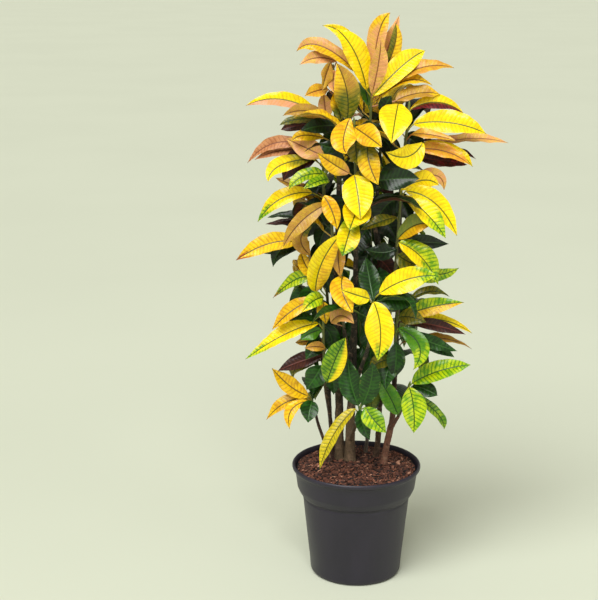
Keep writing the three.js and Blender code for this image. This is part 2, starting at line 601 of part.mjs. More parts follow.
function trunk(name) {
  const { foot: [x, y, footRadius], branches } = TRUNKS[name]
  let wood = null
  branches.forEach((branch, i) => {
    const points = branch.map(([across, up, toward]) => seen(across, up, toward))
    const radii = branch.map((point) => point[3])
    const shoot = shootPoints(shootOn(branch))
    const end = joinDirection(points, shoot)
    if (i === 0) {
      points.unshift(new THREE.Vector3(x, y, FOOT_LEVEL))
      radii.unshift(footRadius)
    }
    const before = mix([points[0], points[1]], [2, -1])
    const line = smooth(points, radii, before, shoot[1], 1)
    if (i === 0) {
      line.unshift({ at: new THREE.Vector3(x, y, FOOT_LEVEL - FOOT_DEPTH), radius: footRadius })
    }
    const limbSolid = limb(line, i === 0 ? TRUNK_SIDES : BRANCH_SIDES, i === 0 ? UP : null, end)
    wood = wood ? wood.add(limbSolid) : limbSolid
  })
  return named(name, wood, 0x5c4633, 0.8)
}

// The branch that carries a shoot: its last point but one.
function carrierPoint(name) {
  for (const { branches } of Object.values(TRUNKS)) {
    const branch = branches.find((points) => shootOn(points) === name)
    if (branch) return seen(...branch.at(-2).slice(0, 3))
  }
  throw new Error(`nothing carries ${name}`)
}

// ---- leaves ------------------------------------------------------------------------------------

// A leaf lies on a midrib through base, middle and tip, and faces the way that face points.
function midrib(leaf, t) {
  const { base, middle, tip } = leaf
  const centre = mix([base, middle, tip], [(1 - t) * (1 - 2 * t), 4 * t * (1 - t), t * (2 * t - 1)])
  const along = mix([base, middle, tip], [4 * t - 3, 4 - 8 * t, 4 * t - 1]).normalize()
  const face = leaf.face.clone().addScaledVector(along, -along.dot(leaf.face)).normalize()
  return { centre, face, side: along.clone().cross(face) }
}

function halfWidth(t, width) {
  const swell = Math.max(0, Math.sin(Math.PI * t ** 0.92))
  return 0.5 * width * swell ** (0.62 - 0.1 * t)
}

// The blade's surface: t runs from base to tip, s from the left edge at -1 to the right edge at 1.
// The halves rise from the midrib, and the edges wave. margin widens it and offset lifts it.
function bladePoint(leaf, t, s, offset = 0, margin = 0) {
  const { centre, face, side } = midrib(leaf, t)
  const half = halfWidth(t, leaf.width)
  const calm = Math.min(1, half / 12)
  const wave = WAVE * s * s * Math.sin(3 * Math.PI * t + leaf.phase + s) * calm
  const reach = half + margin
  const lift = Math.abs(s) * reach * Math.sin(FOLD) + wave + offset
  return mix([centre, side, face], [1, s * reach * Math.cos(FOLD), lift])
}

// A leaf read by eye. bend moves its tip nearer, and its base a little.
function readLeaf(node, row, bend) {
  const [colour, baseX, baseZ, middleX, middleZ, tipX, tipZ, width, near, far, turn] = row
  const tipToward = far + bend
  const baseToward = near + 0.25 * bend
  const base = seen(baseX, baseZ, baseToward)
  const tip = seen(tipX, tipZ, tipToward)
  const middle = seen(middleX, middleZ, baseToward + 0.55 * (tipToward - baseToward))
  const view = EYE.clone().sub(middle).normalize()
  const side = tip.clone().sub(base).cross(view).normalize()
  if ((Math.abs(side.z) > 0.3 ? side.z : side.x) < 0) side.negate()
  const angle = THREE.MathUtils.degToRad(turn)
  const face = mix([view, side], [Math.cos(angle), Math.sin(angle)])
  const stations = base.distanceTo(tip) < LONG_LEAF ? SHORT_STATIONS : LONG_STATIONS
  return { node, colour, base, middle, tip, width, face, phase: 0.1 * baseX, stations }
}

// Where a stalk leaves its shoot: the nearest place to a point a little under the blade's base.
function stalkRoot(axis, base) {
  const low = base.clone().addScaledVector(UP, -STALK_DROP)
  let nearest = null
  for (let i = 0; i < axis.length - 1; i++) {
    const run = axis[i + 1].clone().sub(axis[i])
    const u = THREE.MathUtils.clamp(low.clone().sub(axis[i]).dot(run) / run.lengthSq(), 0.04, 0.97)
    const point = axis[i].clone().addScaledVector(run, u)
    if (!nearest || point.distanceTo(low) < nearest.distanceTo(low)) nearest = point
  }
  return nearest
}

// ---- room --------------------------------------------------------------------------------------

// Three crossed ribbons along a line, as triangles.
function ribbons(points, half) {
  const triangles = []
  for (let i = 0; i < points.length - 1; i++) {
    const [a, b] = [points[i], points[i + 1]]
    const along = b.clone().sub(a).normalize()
    const hint = Math.abs(along.z) > 0.5 ? new THREE.Vector3(0.6, 0.8, 0) : UP
    const across = along.clone().cross(hint).normalize()
    const away = along.clone().cross(across)
    for (let k = 0; k < 3; k++) {
      const turn = (Math.PI * k) / 3
      const reach = mix([across, away], [half * Math.cos(turn), half * Math.sin(turn)])
      const [a0, a1] = [a.clone().sub(reach), a.clone().add(reach)]
      const [b0, b1] = [b.clone().sub(reach), b.clone().add(reach)]
      triangles.push([a0, b0, b1], [a0, b1, a1])
    }
  }
  return triangles
}

function bladeTriangles(leaf, offset, margin) {
  const { stations } = leaf
  const triangles = []
  for (const s of [-1, 0]) {
    for (let i = 0; i < stations.length - 1; i++) {
      const a = bladePoint(leaf, stations[i], s, offset, margin)
      const b = bladePoint(leaf, stations[i + 1], s, offset, margin)
      const c = bladePoint(leaf, stations[i + 1], s + 1, offset, margin)
      const d = bladePoint(leaf, stations[i], s + 1, offset, margin)
      triangles.push([a, b, c], [a, c, d])
    }
  }
  return triangles
}

function boxAround(triangles) {
  return new THREE.Box3().setFromPoints(triangles.flat())
}

function edgeThrough(p, q, [a, b, c]) {
  const run = q.clone().sub(p)
  const e1 = b.clone().sub(a)
  const e2 = c.clone().sub(a)
  const h = run.clone().cross(e2)
  const slope = h.dot(e1)
  if (Math.abs(slope) < 1e-9) return false
  const s = p.clone().sub(a)
  const u = s.dot(h) / slope
  if (u < 0 || u > 1) return false
  const r = s.cross(e1)
  const v = run.dot(r) / slope
  if (v < 0 || u + v > 1) return false
  const w = e2.dot(r) / slope
  return w >= 0 && w <= 1
}

// Whether an edge of one set of triangles goes through a triangle of the other.
function meet(one, other) {
  const overlap = boxAround(one).intersect(boxAround(other))
  if (overlap.isEmpty()) return false
  const near = (triangle) => overlap.intersectsBox(new THREE.Box3().setFromPoints(triangle))
  const [left, right] = [one.filter(near), other.filter(near)]
  const through = (edges, faces) => edges.some(([a, b, c]) => (
    [[a, b], [b, c], [c, a]].some(([p, q]) => faces.some((face) => edgeThrough(p, q, face)))
  ))
  return through(left, right) || through(right, left)
}

// ---- growth ------------------------------------------------------------------------------------

// A linear congruential generator: the same numbers from 0 to 1 each time.
function draws(seed) {
  let state = seed
  return () => {
    state = (Math.imul(state, 1664525) + 1013904223) >>> 0
    return state / 4294967296
  }
}

const taken = []      // what already stands in the room: { node, kind, triangles, outer, box }

function take(node, kind, triangles, outer) {
  taken.push({ node, kind, triangles, outer, box: boxAround(triangles) })
}

const stalkRibbons = (leaf) => ribbons([leaf.root, leaf.base], 3.6)

// The part of a leaf that stands clear of its shoot: the outer half of the stalk, and the blade.
function outerPart(leaf) {
  const half = leaf.root.clone().lerp(leaf.base, 0.5)
  return [...bladeTriangles(leaf, 0, 0), ...ribbons([half, leaf.base], 1.5)]
}

// Whether a leaf would cross anything. apart also keeps it off the leaves of its own shoot.
function isFree(leaf, apart) {
  const layers = [-CLEAR, 0, CLEAR].flatMap((offset) => bladeTriangles(leaf, offset, 1.5))
  const whole = [...layers, ...stalkRibbons(leaf)]
  const outer = outerPart(leaf)
  const box = boxAround(whole)
  return !taken.some((other) => {
    if (!box.intersectsBox(other.box)) return false
    if (other.node !== leaf.node) return meet(whole, other.triangles)
    return apart && other.kind === 'leaf' && meet(outer, other.outer)
  })
}

function grow(leaf) {
  take(leaf.node, 'leaf', [...bladeTriangles(leaf, 0, 0), ...stalkRibbons(leaf)], outerPart(leaf))
  leaves[leaf.node].push(leaf)
}

const leaves = Object.fromEntries(Object.keys(SHOOTS).map((name) => [name, []]))
const BENDS = [0, -8, 8, -16, 16, -26, 26, -38, 38, -52, 52, -68, 68]

// Leaves read by eye, each bent towards or away from EYE until it is clear.
function growRead(node, rows) {
  const axis = shootPoints(node)
  for (const row of rows) {
    const bent = BENDS.map((bend) => readLeaf(node, row, bend))
    for (const leaf of bent) leaf.root = stalkRoot(axis, leaf.base)
    const free = bent.find((leaf) => isFree(leaf, true)) ?? bent.find((leaf) => isFree(leaf, false))
    if (free) grow(free)
  }
}

// Leaves that the others hide: they follow one another up the shoot by the golden angle, and each
// tries a few turns about the shoot, some with a shorter blade, until it is clear.
const TRIES = [[0, 1], [12, 1], [-12, 1], [24, 0.9], [-24, 0.9], [0, 0.75], [38, 0.8], [-38, 0.8]]

function ruleColour(inner, level, dice) {
  if (inner) return dice < 0.7 || level < 0.5 ? 'dark' : dice < 0.8 ? 'green' : 'gold'
  if (level < 0.12) return 'dark'
  if (level < 0.3) return 'green'
  if (level < 0.5) return 'lime'
  if (level < 0.8) return 'yellow'
  return level < 1 ? 'gold' : 'peach'
}

function growByRule(node, count, seed) {
  const axis = shootPoints(node)
  const draw = draws(1000 + seed)
  const atBack = node.startsWith('back')
  const degrees = THREE.MathUtils.degToRad
  let made = 0
  for (let k = 0; k < count * 9 && made < count; k++) {
    const u = 0.05 + 0.92 * ((k * 0.618034) % 1)
    const angle = GOLDEN_ANGLE * k + 2.3 * seed
    const [size, slim, rising, hanging, dice, phase] = Array.from({ length: 6 }, draw)
    if (!atBack && Math.sin(angle) < FRONT_LIMIT) continue
    const spans = axis.length - 1
    const i = Math.min(Math.floor(u * spans), spans - 1)
    const root = axis[i].clone().lerp(axis[i + 1], u * spans - i)
    const age = THREE.MathUtils.clamp((1250 - root.z) / 800, 0, 1)
    for (const [veer, short] of TRIES) {
      const heading = angle + degrees(veer)
      const length = (130 + 65 * size) * short
      const rise = degrees(48 - 52 * age + 30 * (rising - 0.5))
      const fall = degrees(-2 - 66 * age + 40 * (hanging - 0.5))
      const lean = (rise + fall) / 2
      const out = new THREE.Vector3(Math.cos(heading), Math.sin(heading), 0)
      const base = mix([root, out, UP], [1, 26 * 0.85, 26 * 0.53])
      const middle = mix([base, out, UP], [1, 0.5 * length * Math.cos(rise), 0.5 * length * Math.sin(rise)])
      const tip = mix([middle, out, UP], [1, 0.5 * length * Math.cos(fall), 0.5 * length * Math.sin(fall)])
      const nearer = EYE.y / (EYE.y - tip.y)
      const up = EYE.z + (tip.z - EYE.z) * nearer
      if (Math.abs(tip.x * nearer) > 165 || up < 405 || up > 1270) continue
      const inner = !atBack || Math.sin(heading) < 0.1
      const leaf = {
        node, base, middle, tip, root,
        colour: ruleColour(inner, (root.z - 450) / 800 + 0.7 * (dice - 0.5), dice),
        width: length * (0.36 + 0.08 * slim),
        face: mix([UP, out], [Math.cos(lean), -Math.sin(lean)]),
        phase: 6.28 * phase,
        stations: SHORT_STATIONS,
      }
      if (isFree(leaf, true)) {
        grow(leaf)
        made++
        break
      }
    }
  }
}

// ---- shoots ------------------------------------------------------------------------------------

// A leaf as one closed body: a three-sided stalk, flat on top, that widens into the blade. The blade
// is a thin lens across, thickest along its midrib, and both its faces are split into triangles alike.
function leafSolid(leaf) {
  const along = leaf.base.clone().sub(leaf.root).normalize()
  const start = midrib(leaf, 0)
  const stalkFace = start.face.clone().addScaledVector(along, -along.dot(start.face)).normalize()
  const stalkSide = along.clone().cross(stalkFace)
  const ring = (at, radius) => [
    mix([at, stalkSide, stalkFace], [1, -radius, radius / 2]),
    mix([at, stalkFace], [1, radius / 2]),
    mix([at, stalkSide, stalkFace], [1, radius, radius / 2]),
    mix([at, stalkFace], [1, -radius]),
  ]
  const rings = [ring(leaf.root, STALK_RADIUS[0]), ring(leaf.base, STALK_RADIUS[1])]
  for (const t of leaf.stations.slice(1, -1)) {
    rings.push([
      bladePoint(leaf, t, -1),
      bladePoint(leaf, t, 0, MIDRIB),
      bladePoint(leaf, t, 1),
      bladePoint(leaf, t, 0, -MIDRIB),
    ])
  }
  return skin(rings, leaf.tip)
}

function shoot(name) {
  const points = shootPoints(name)
  const carrier = carrierPoint(name)
  const start = joinDirection([carrier, points[0]], points)
  const first = mix([points[0], start], [1, GAP])
  const [thick, thin] = SHOOT_RADIUS
  const radii = points.map((_, i) => thick + ((thin - thick) * i) / (points.length - 1))
  const after = mix([points.at(-1), points.at(-2)], [2, -1])
  const line = smooth([first, ...points.slice(1)], radii, carrier, after, 1)
  let body = straightLimb(line, SHOOT_SIDES, start)
  for (const leaf of leaves[name]) body = body.add(leafSolid(leaf))
  return named(name, body, COLOUR[leaves[name][0].colour], 0.45)
}

// ---- the whole plant ---------------------------------------------------------------------------

for (const name of Object.keys(SHOOTS)) take(name, 'stem', ribbons(shootPoints(name), 5.5))
for (const [name, { foot: [x, y], branches }] of Object.entries(TRUNKS)) {
  branches.forEach((branch, i) => {
    const points = branch.map(([across, up, toward]) => seen(across, up, toward))
    if (i === 0) points.unshift(new THREE.Vector3(x, y, FOOT_LEVEL))
    take(name, 'wood', ribbons(points, Math.max(...branch.map((point) => point[3])) + 3))
  })
}
for (const [node, rows] of Object.entries(LEAVES)) growRead(node, rows)
for (const [node, rows] of Object.entries(INNER_LEAVES)) growRead(node, rows)
Object.entries(RULE_COUNT).forEach(([node, count], seed) => growByRule(node, count, seed))

const croton = new THREE.Group()
croton.add(pot(), bark())
for (const name of Object.keys(TRUNKS)) croton.add(trunk(name))
for (const name of Object.keys(SHOOTS)) croton.add(shoot(name))

export default croton
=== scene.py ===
"""A croton in its nursery pot: the finish of every leaf, stem, trunk, the bark and the pot.

Sizes and places are in millimetres, as the plant was measured, and a mesh is written in metres.
Up is +Z, the front of the plant is towards -Y, and the origin is the middle of the pot's underside.
"""
import math

import bpy
import numpy as np
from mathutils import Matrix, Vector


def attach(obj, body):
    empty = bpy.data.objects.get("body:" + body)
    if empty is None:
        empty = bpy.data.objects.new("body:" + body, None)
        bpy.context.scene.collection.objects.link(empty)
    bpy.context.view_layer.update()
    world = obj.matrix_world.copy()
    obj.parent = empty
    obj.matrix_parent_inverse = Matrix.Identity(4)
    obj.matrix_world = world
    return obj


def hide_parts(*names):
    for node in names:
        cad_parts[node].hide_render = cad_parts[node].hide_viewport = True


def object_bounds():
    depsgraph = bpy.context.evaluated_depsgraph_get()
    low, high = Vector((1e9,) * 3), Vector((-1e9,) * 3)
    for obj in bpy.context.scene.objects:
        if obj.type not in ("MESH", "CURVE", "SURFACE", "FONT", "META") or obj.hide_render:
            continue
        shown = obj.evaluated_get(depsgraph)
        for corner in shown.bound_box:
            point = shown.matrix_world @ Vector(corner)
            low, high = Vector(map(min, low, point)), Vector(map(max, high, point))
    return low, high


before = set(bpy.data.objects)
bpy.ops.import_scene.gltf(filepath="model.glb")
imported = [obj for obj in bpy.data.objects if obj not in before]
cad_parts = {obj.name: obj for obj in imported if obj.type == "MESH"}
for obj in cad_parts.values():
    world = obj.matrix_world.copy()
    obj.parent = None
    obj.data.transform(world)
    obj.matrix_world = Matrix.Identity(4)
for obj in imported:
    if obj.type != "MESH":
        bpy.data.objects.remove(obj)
cad_bounds = [list(corner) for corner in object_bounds()]

MM = 0.001
ROOM = np.array(cad_bounds) / MM + np.array([[0.3], [-0.3]])     # blades stay inside it

# ---- driving dimensions ---------------------------------------------------------------------------

POT_HEIGHT = 288.0
RIM_RADIUS = 162.0
MOUTH_RADIUS = 155.0
COLLAR_RADIUS = 153.0
COLLAR_FOOT_RADIUS = 148.0
NECK_RADIUS = 134.0
FOOT_RADIUS = 114.5
WALL = 2.6
FLOOR = 4.5
NOTCH_COUNT, NOTCH_WIDTH, NOTCH_HEIGHT = 3, 28.0, 3.4
NOTCH_START = 0.875           # where the first one is, in steps between notches from +X

BARK_CROWN = 284.0
BARK_FALL = 8.0               # how much lower the loose bark lies at the wall
FOOT_LEVEL = 284.0
GAP = 0.3                     # between the bark and the pot's wall
BED_FOOT = 225.0              # how low the loose bark goes
BED_REACH = 150.0             # the radius that its fall and its chips go by

EYE = np.array([0.0, -3380.0, 1587.0])   # the place that the plant was read from
SHOOT_RADIUS = (4.2, 3.0)
FOLD = math.radians(18)       # each half of a blade rises this much
WAVE = 2.5                    # height of the long waves along a blade's edge
WAVE_CALM = 12                # they are lower where half the blade is narrower than this
STALK_DROP = 18.0             # a stalk leaves its shoot this much lower than the blade starts
STALK_SPAN = (0.04, 0.97)     # between these shares of each stretch of the shoot
LONG_STATIONS = (0, 0.12, 0.36, 0.64, 0.88, 1)   # where a blade's solid is cut across
SHORT_STATIONS = (0, 0.2, 0.6, 0.88, 1)
LONG_LEAF = 115.0
FRONT_LIMIT = 0.1             # hidden leaves of the front shoots point away from EYE
UP = np.array([0.0, 0.0, 1.0])
GOLDEN_ANGLE = math.radians(137.508)

# ---- the plant as it was read ---------------------------------------------------------------------

# Green shoots from foot to tip, each point as seen from EYE: across and up on the plane y = 0, then
# how far it lies from that plane towards EYE.
SHOOTS = {
    "top_right": [(24, 1000, 8), (24, 1120, 12), (28, 1240, 15)],
    "top_left": [(-50, 1000, 4), (-57, 1130, 10), (-64, 1275, 6)],
    "right_high": [(100, 1000, 40), (110, 1110, 44), (116, 1190, 38)],
    "centre_high": [(-6, 905, 102), (-9, 1020, 108), (-14, 1150, 102)],
    "left_high": [(-80, 880, 14), (-85, 980, 20), (-88, 1085, 16)],
    "centre_left": [(-58, 800, 87), (-64, 880, 91), (-68, 960, 87)],
    "right_mid": [(88, 770, 63), (94, 860, 69), (101, 985, 71)],
    "left_mid": [(-100, 690, 55), (-108, 770, 55), (-126, 850, 45)],
    "centre_mid": [(26, 590, 122), (32, 660, 128), (38, 714, 134)],
    "centre_low": [(-34, 640, 85), (-38, 700, 93), (-40, 775, 100)],
    "left_low": [(-78, 478, 24), (-82, 540, 52), (-84, 620, 58), (-86, 702, 64)],
    "right_low": [(90, 540, 59), (94, 610, 63), (97, 675, 65)],
    "right_bottom": [(104, 412, 40), (118, 450, 46), (130, 496, 56)],
    "left_bottom": [(-104, 420, 14), (-110, 440, 18), (-118, 464, 26)],
    "centre_bottom": [(2, 396, 75), (6, 418, 79), (10, 438, 83)],
    "inner_low": [(10, 560, -14), (8, 630, -6), (6, 700, 0)],
    "inner_mid": [(34, 755, -18), (30, 840, -24), (28, 935, -24)],
    "back_low": [(22, 560, -100), (27, 661, -106), (26, 782, -104)],
    "back_left": [(-68, 620, -92), (-76, 730, -102), (-80, 870, -102)],
    "back_right": [(70, 790, -92), (78, 900, -102), (80, 1010, -100)],
    "back_high_left": [(-40, 900, -90), (-46, 1010, -98), (-44, 1150, -88)],
    "back_high_right": [(44, 1000, -84), (50, 1090, -90), (50, 1200, -80)],
}

# Leaves read one by one, for each shoot: colour, then the places of the blade's base, the middle of its
# midrib and its tip, each across and up as seen from EYE, its width, how far its base and its tip lie
# towards EYE, and how many degrees its face is turned away from EYE.
LEAVES = {
    "top_right": [
        ("yellow", 15, 1222, -14, 1310, -60, 1366, 58, 20, 45, 18),
        ("peach", 28, 1212, 42, 1284, 47, 1338, 42, 30, 70, 5),
        ("orange", 32, 1232, 40, 1346, 68, 1402, 50, 14, 10, -18),
        ("peach", 34, 1232, 67, 1329, 89, 1396, 30, 0, -25, 10),
        ("yellow", 10, 1228, -27, 1334, -90, 1372, 36, 5, -30, 5),
        ("tan", 40, 1236, 77, 1320, 80, 1378, 38, 2, 0, 30),
        ("olive", 38, 1240, 60, 1312, 84, 1376, 26, -6, -15, 50),
        ("yellow", 30, 1208, 97, 1278, 151, 1315, 58, 40, 20, 12),
        ("orange", 42, 1214, 133, 1272, 219, 1275, 43, 12, -4, 38),
        ("gold", 36, 1200, 107, 1244, 169, 1234, 40, 24, 30, 52),
        ("peach", 83, 1197, 136, 1215, 188, 1213, 48, 30, 10, 42),
        ("peach", -4, 1260, -92, 1324, -151, 1312, 38, 22, 15, 25),
    ],
    "right_high": [
        ("yellow", 118, 1176, 182, 1194, 244, 1169, 40, 28, 22, 32),
        ("yellow", 126, 1142, 213, 1146, 299, 1121, 62, 36, 50, 22),
        ("orange", 122, 1118, 168, 1117, 229, 1103, 30, 54, 90, 38),
        ("peach", 150, 1086, 257, 1108, 353, 1099, 34, 14, -10, 45),
        ("orange", 128, 1082, 202, 1078, 263, 1046, 36, 50, 70, 28),
        ("maroon", 122, 1066, 193, 1055, 257, 1046, 38, 28, 30, 30),
        ("yellow", 134, 1094, 217, 1081, 270, 1041, 34, 22, 30, 34),
        ("maroon", 130, 1100, 212, 1088, 277, 1060, 30, 0, -10, 55),
        ("dark", 56, 1169, 61, 1189, 74, 1210, 36, 50, 70, 0),
        ("yellow", 90, 1190, 83, 1150, 76, 1096, 76, 56, 128, 0),
        ("yellow", 150, 1099, 114, 1065, 62, 1076, 58, 76, 122, 0),
    ],
    "centre_high": [
        ("gold", -12, 1134, 23, 1110, 53, 1087, 56, 122, 190, 8),
        ("gold", -24, 1156, -39, 1102, -30, 1071, 58, 118, 172, 0),
        ("gold", 20, 1096, 23, 1050, 46, 996, 56, 128, 168, 0),
        ("olive", -6, 1130, -9, 1088, -3, 1044, 50, 116, 142, 0),
        ("gold", -24, 1024, -60, 1045, -101, 1073, 44, 136, 156, -18),
        ("yellow", -12, 1020, -2, 966, 4, 911, 78, 136, 190, 0),
        ("yellow", 8, 962, -8, 926, -22, 884, 70, 122, 202, 0),
        ("yellow", -12, 918, -27, 864, -39, 820, 58, 138, 210, 0),
        ("gold", -2, 1030, 10, 1012, 28, 998, 32, 120, 146, 0),
        ("dark", 0, 1046, 15, 1026, 42, 990, 36, 116, 134, 0),
        ("dark", 34, 1004, 90, 1012, 144, 1012, 56, 120, 140, 0),
        ("dark", -38, 1098, -66, 1086, -96, 1096, 42, 110, 120, 0),
    ],
    "top_left": [
        ("peach", -56, 1289, -101, 1297, -143, 1281, 32, 12, 70, 18),
        ("tan", -70, 1288, -82, 1256, -90, 1221, 32, 24, 78, 30),
        ("peach", -60, 1268, -64, 1244, -61, 1214, 34, 26, 80, 0),
        ("orange", -76, 1224, -102, 1220, -131, 1208, 34, 24, 70, 15),
        ("tan", -74, 1150, -128, 1172, -183, 1161, 36, 26, 60, 20),
        ("yellow", -30, 1150, -32, 1222, -57, 1286, 62, 46, 66, 0),
        ("olive", -44, 1150, -51, 1190, -55, 1229, 38, 38, 46, 0),
        ("yellow", -92, 1160, -184, 1199, -271, 1184, 38, 4, -4, 18),
        ("olive", -86, 1150, -147, 1152, -191, 1138, 28, 18, 30, 32),
        ("maroon", -84, 1140, -144, 1138, -188, 1127, 34, 8, 10, 22),
        ("dark", -56, 1138, -99, 1136, -141, 1125, 38, 36, 70, 8),
        ("gold", -84, 1108, -134, 1114, -163, 1099, 30, 22, 50, 16),
        ("peach", -80, 1153, -83, 1183, -87, 1217, 36, 30, 46, 0),
    ],
    "left_high": [
        ("peach", -86, 1064, -125, 1083, -177, 1107, 50, 40, 20, 5),
        ("tan", -110, 1082, -198, 1096, -268, 1047, 34, 10, 0, 22),
        ("tan", -110, 1074, -182, 1078, -251, 1055, 32, -2, 4, 22),
        ("maroon", -104, 1056, -160, 1068, -216, 1076, 34, -4, -14, 50),
        ("yellow", -112, 1058, -190, 1041, -219, 1002, 44, 26, 76, 18),
        ("maroon", -98, 1064, -150, 1048, -183, 1004, 60, 12, 20, 15),
        ("lime", -78, 1020, -133, 1016, -169, 984, 38, 44, 76, 30),
        ("lime", -72, 1006, -97, 1004, -136, 984, 30, 50, 96, 28),
        ("tan", -120, 990, -166, 998, -201, 1012, 24, -12, -40, 30),
        ("yellow", -112, 976, -187, 961, -245, 903, 44, 30, 56, 22),
        ("dark", -98, 904, -168, 919, -221, 914, 28, -10, -40, 42),
        ("maroon", -98, 890, -168, 900, -226, 898, 28, -22, -60, 42),
    ],
    "centre_left": [
        ("tan", -74, 950, -138, 906, -183, 842, 44, 99, 123, 8),
        ("gold", -86, 968, -66, 934, -52, 886, 42, 95, 125, 0),
        ("tan", -50, 852, -49, 812, -43, 766, 34, 101, 121, 0),
    ],
    "left_mid": [
        ("tan", -118, 822, -140, 862, -112, 894, 42, 61, 75, 0),
        ("gold", -146, 853, -216, 850, -299, 807, 52, 51, 61, 18),
        ("dark", -140, 840, -186, 836, -208, 792, 40, 33, 45, 10),
        ("dark", -136, 846, -188, 832, -236, 826, 26, 23, 5, 50),
        ("gold", -104, 764, -130, 800, -138, 830, 38, 41, 35, 0),
        ("yellow", -104, 730, -88, 805, -40, 878, 62, 81, 127, 0),
        ("lime", -84, 716, -110, 706, -138, 677, 38, 87, 143, 5),
        ("gold", -102, 712, -158, 684, -211, 633, 44, 67, 85, 20),
        ("lime", -104, 762, -149, 762, -209, 713, 34, 37, 19, 18),
    ],
    "centre_low": [
        ("gold", -38, 770, -37, 728, -12, 677, 62, 111, 167, 0),
        ("peach", -66, 652, -40, 670, -9, 650, 44, 105, 149, 20),
    ],
    "left_low": [
        ("gold", -84, 704, -83, 680, -78, 648, 34, 74, 108, 0),
        ("yellow", -96, 650, -177, 622, -278, 555, 46, 64, 74, 28),
        ("dark", -94, 654, -134, 664, -175, 655, 26, 46, 32, 42),
        ("green", -90, 634, -118, 624, -141, 606, 36, 58, 78, 0),
        ("tan", -90, 612, -126, 604, -154, 600, 24, 42, 46, 10),
        ("tan", -80, 586, -102, 590, -131, 586, 26, 62, 78, 10),
        ("maroon", -84, 568, -139, 552, -197, 526, 42, 42, 38, 22),
        ("olive", -90, 556, -140, 546, -160, 512, 36, 32, 42, 10),
        ("dark", -88, 542, -104, 512, -126, 478, 54, 52, 60, 0),
        ("lime", -75, 498, -54, 560, -29, 615, 62, 74, 104, 0),
    ],
    "centre_mid": [
        ("dark", 38, 712, 28, 760, 18, 818, 56, 140, 94, 0),
        ("yellow", 52, 727, 121, 764, 193, 773, 62, 144, 160, 12),
        ("yellow", 38, 706, 56, 638, 50, 555, 72, 152, 180, 0),
        ("yellow", 28, 714, 0, 722, -42, 736, 40, 142, 160, 0),
        ("dark", 48, 710, 96, 712, 149, 708, 54, 134, 132, 0),
    ],
    "right_mid": [
        ("yellow", 97, 856, 153, 818, 195, 751, 62, 87, 101, 26),
        ("dark", 102, 857, 156, 857, 218, 853, 36, 75, 29, 2),
        ("olive", 95, 864, 136, 898, 184, 901, 52, 75, 119, 22),
        ("yellow", 100, 984, 152, 1008, 191, 996, 44, 75, 55, 15),
        ("yellow", 112, 982, 184, 951, 237, 873, 56, 79, 93, 14),
        ("yellow", 110, 970, 166, 923, 210, 867, 54, 93, 109, 28),
        ("peach", 118, 1004, 182, 1020, 203, 985, 34, 45, 45, 15),
        ("olive", 92, 918, 50, 905, 3, 885, 32, 77, 105, 30),
        ("dark", 92, 840, 56, 830, 16, 838, 44, 75, 85, 15),
        ("lime", 96, 800, 179, 777, 244, 794, 42, 61, 35, -24),
        ("olive", 94, 826, 114, 812, 142, 800, 42, 75, 75, 0),
        ("dark", 92, 960, 64, 944, 40, 900, 66, 71, 65, 0),
    ],
    "right_low": [
        ("lime", 106, 668, 180, 695, 259, 707, 44, 75, 81, 12),
        ("maroon", 104, 657, 185, 649, 265, 626, 32, 61, 51, 14),
        ("olive", 100, 668, 132, 668, 168, 655, 40, 81, 87, 10),
        ("yellow", 120, 652, 202, 662, 281, 629, 32, 41, 41, 32),
        ("lime", 99, 640, 152, 596, 139, 533, 50, 89, 127, 8),
        ("dark", 108, 636, 182, 604, 246, 583, 34, 65, 69, 15),
        ("dark", 106, 616, 188, 594, 239, 567, 30, 55, 53, 10),
        ("tan", 110, 604, 204, 615, 281, 589, 26, 35, 19, 48),
        ("dark", 94, 604, 96, 560, 90, 508, 46, 75, 91, 0),
        ("olive", 88, 560, 56, 552, 30, 532, 40, 71, 95, 15),
        ("olive", 100, 690, 167, 732, 223, 721, 30, 55, 49, 48),
    ],
    "right_bottom": [
        ("lime", 136, 498, 203, 531, 280, 548, 58, 62, 74, 20),
        ("dark", 138, 492, 172, 482, 200, 467, 44, 46, 66, 5),
        ("yellow", 130, 488, 142, 430, 143, 368, 64, 76, 106, 0),
        ("green", 134, 470, 198, 423, 219, 379, 30, 40, 44, 28),
        ("green", 102, 416, 80, 466, 45, 523, 50, 46, 66, 0),
    ],
    "left_bottom": [
        ("gold", -121, 462, -166, 486, -212, 533, 48, 34, 44, 10),
        ("gold", -122, 455, -178, 443, -227, 397, 36, 26, 30, 28),
        ("gold", -122, 448, -164, 423, -168, 373, 30, 40, 70, 10),
        ("dark", -112, 448, -118, 424, -122, 391, 48, 34, 66, 0),
    ],
    "inner_mid": [
        ("dark", 30, 950, 66, 946, 108, 916, 56, -10, 30, 0),
        ("dark", 32, 930, 70, 902, 94, 852, 60, -4, 44, 0),
        ("dark", 24, 940, 4, 924, -18, 884, 54, -10, 30, 0),
        ("dark", 24, 890, 2, 860, -10, 812, 58, 22, 60, 0),
        ("dark", 28, 850, 18, 806, 4, 762, 54, 24, 50, 0),
        ("maroon", 36, 822, 66, 800, 90, 762, 46, 16, 34, 10),
        ("dark", 38, 790, 62, 750, 66, 700, 54, 16, 40, 0),
        ("dark", 28, 782, 4, 748, -8, 700, 54, 14, 30, 0),
    ],
    "inner_low": [
        ("dark", 4, 704, -20, 676, -34, 630, 56, 10, 40, 0),
        ("dark", 10, 700, 30, 664, 36, 616, 56, 14, 44, 0),
        ("dark", 2, 690, 2, 640, 6, 588, 52, 4, 30, 0),
        ("dark", 12, 656, 34, 616, 30, 562, 58, 10, 30, 0),
        ("dark", 12, 600, 24, 556, 26, 500, 52, 14, 50, 0),
        ("dark", 14, 606, 34, 560, 44, 506, 56, 2, 20, 0),
    ],
    "centre_bottom": [
        ("lime", 22, 434, 42, 402, 75, 367, 52, 97, 129, 0),
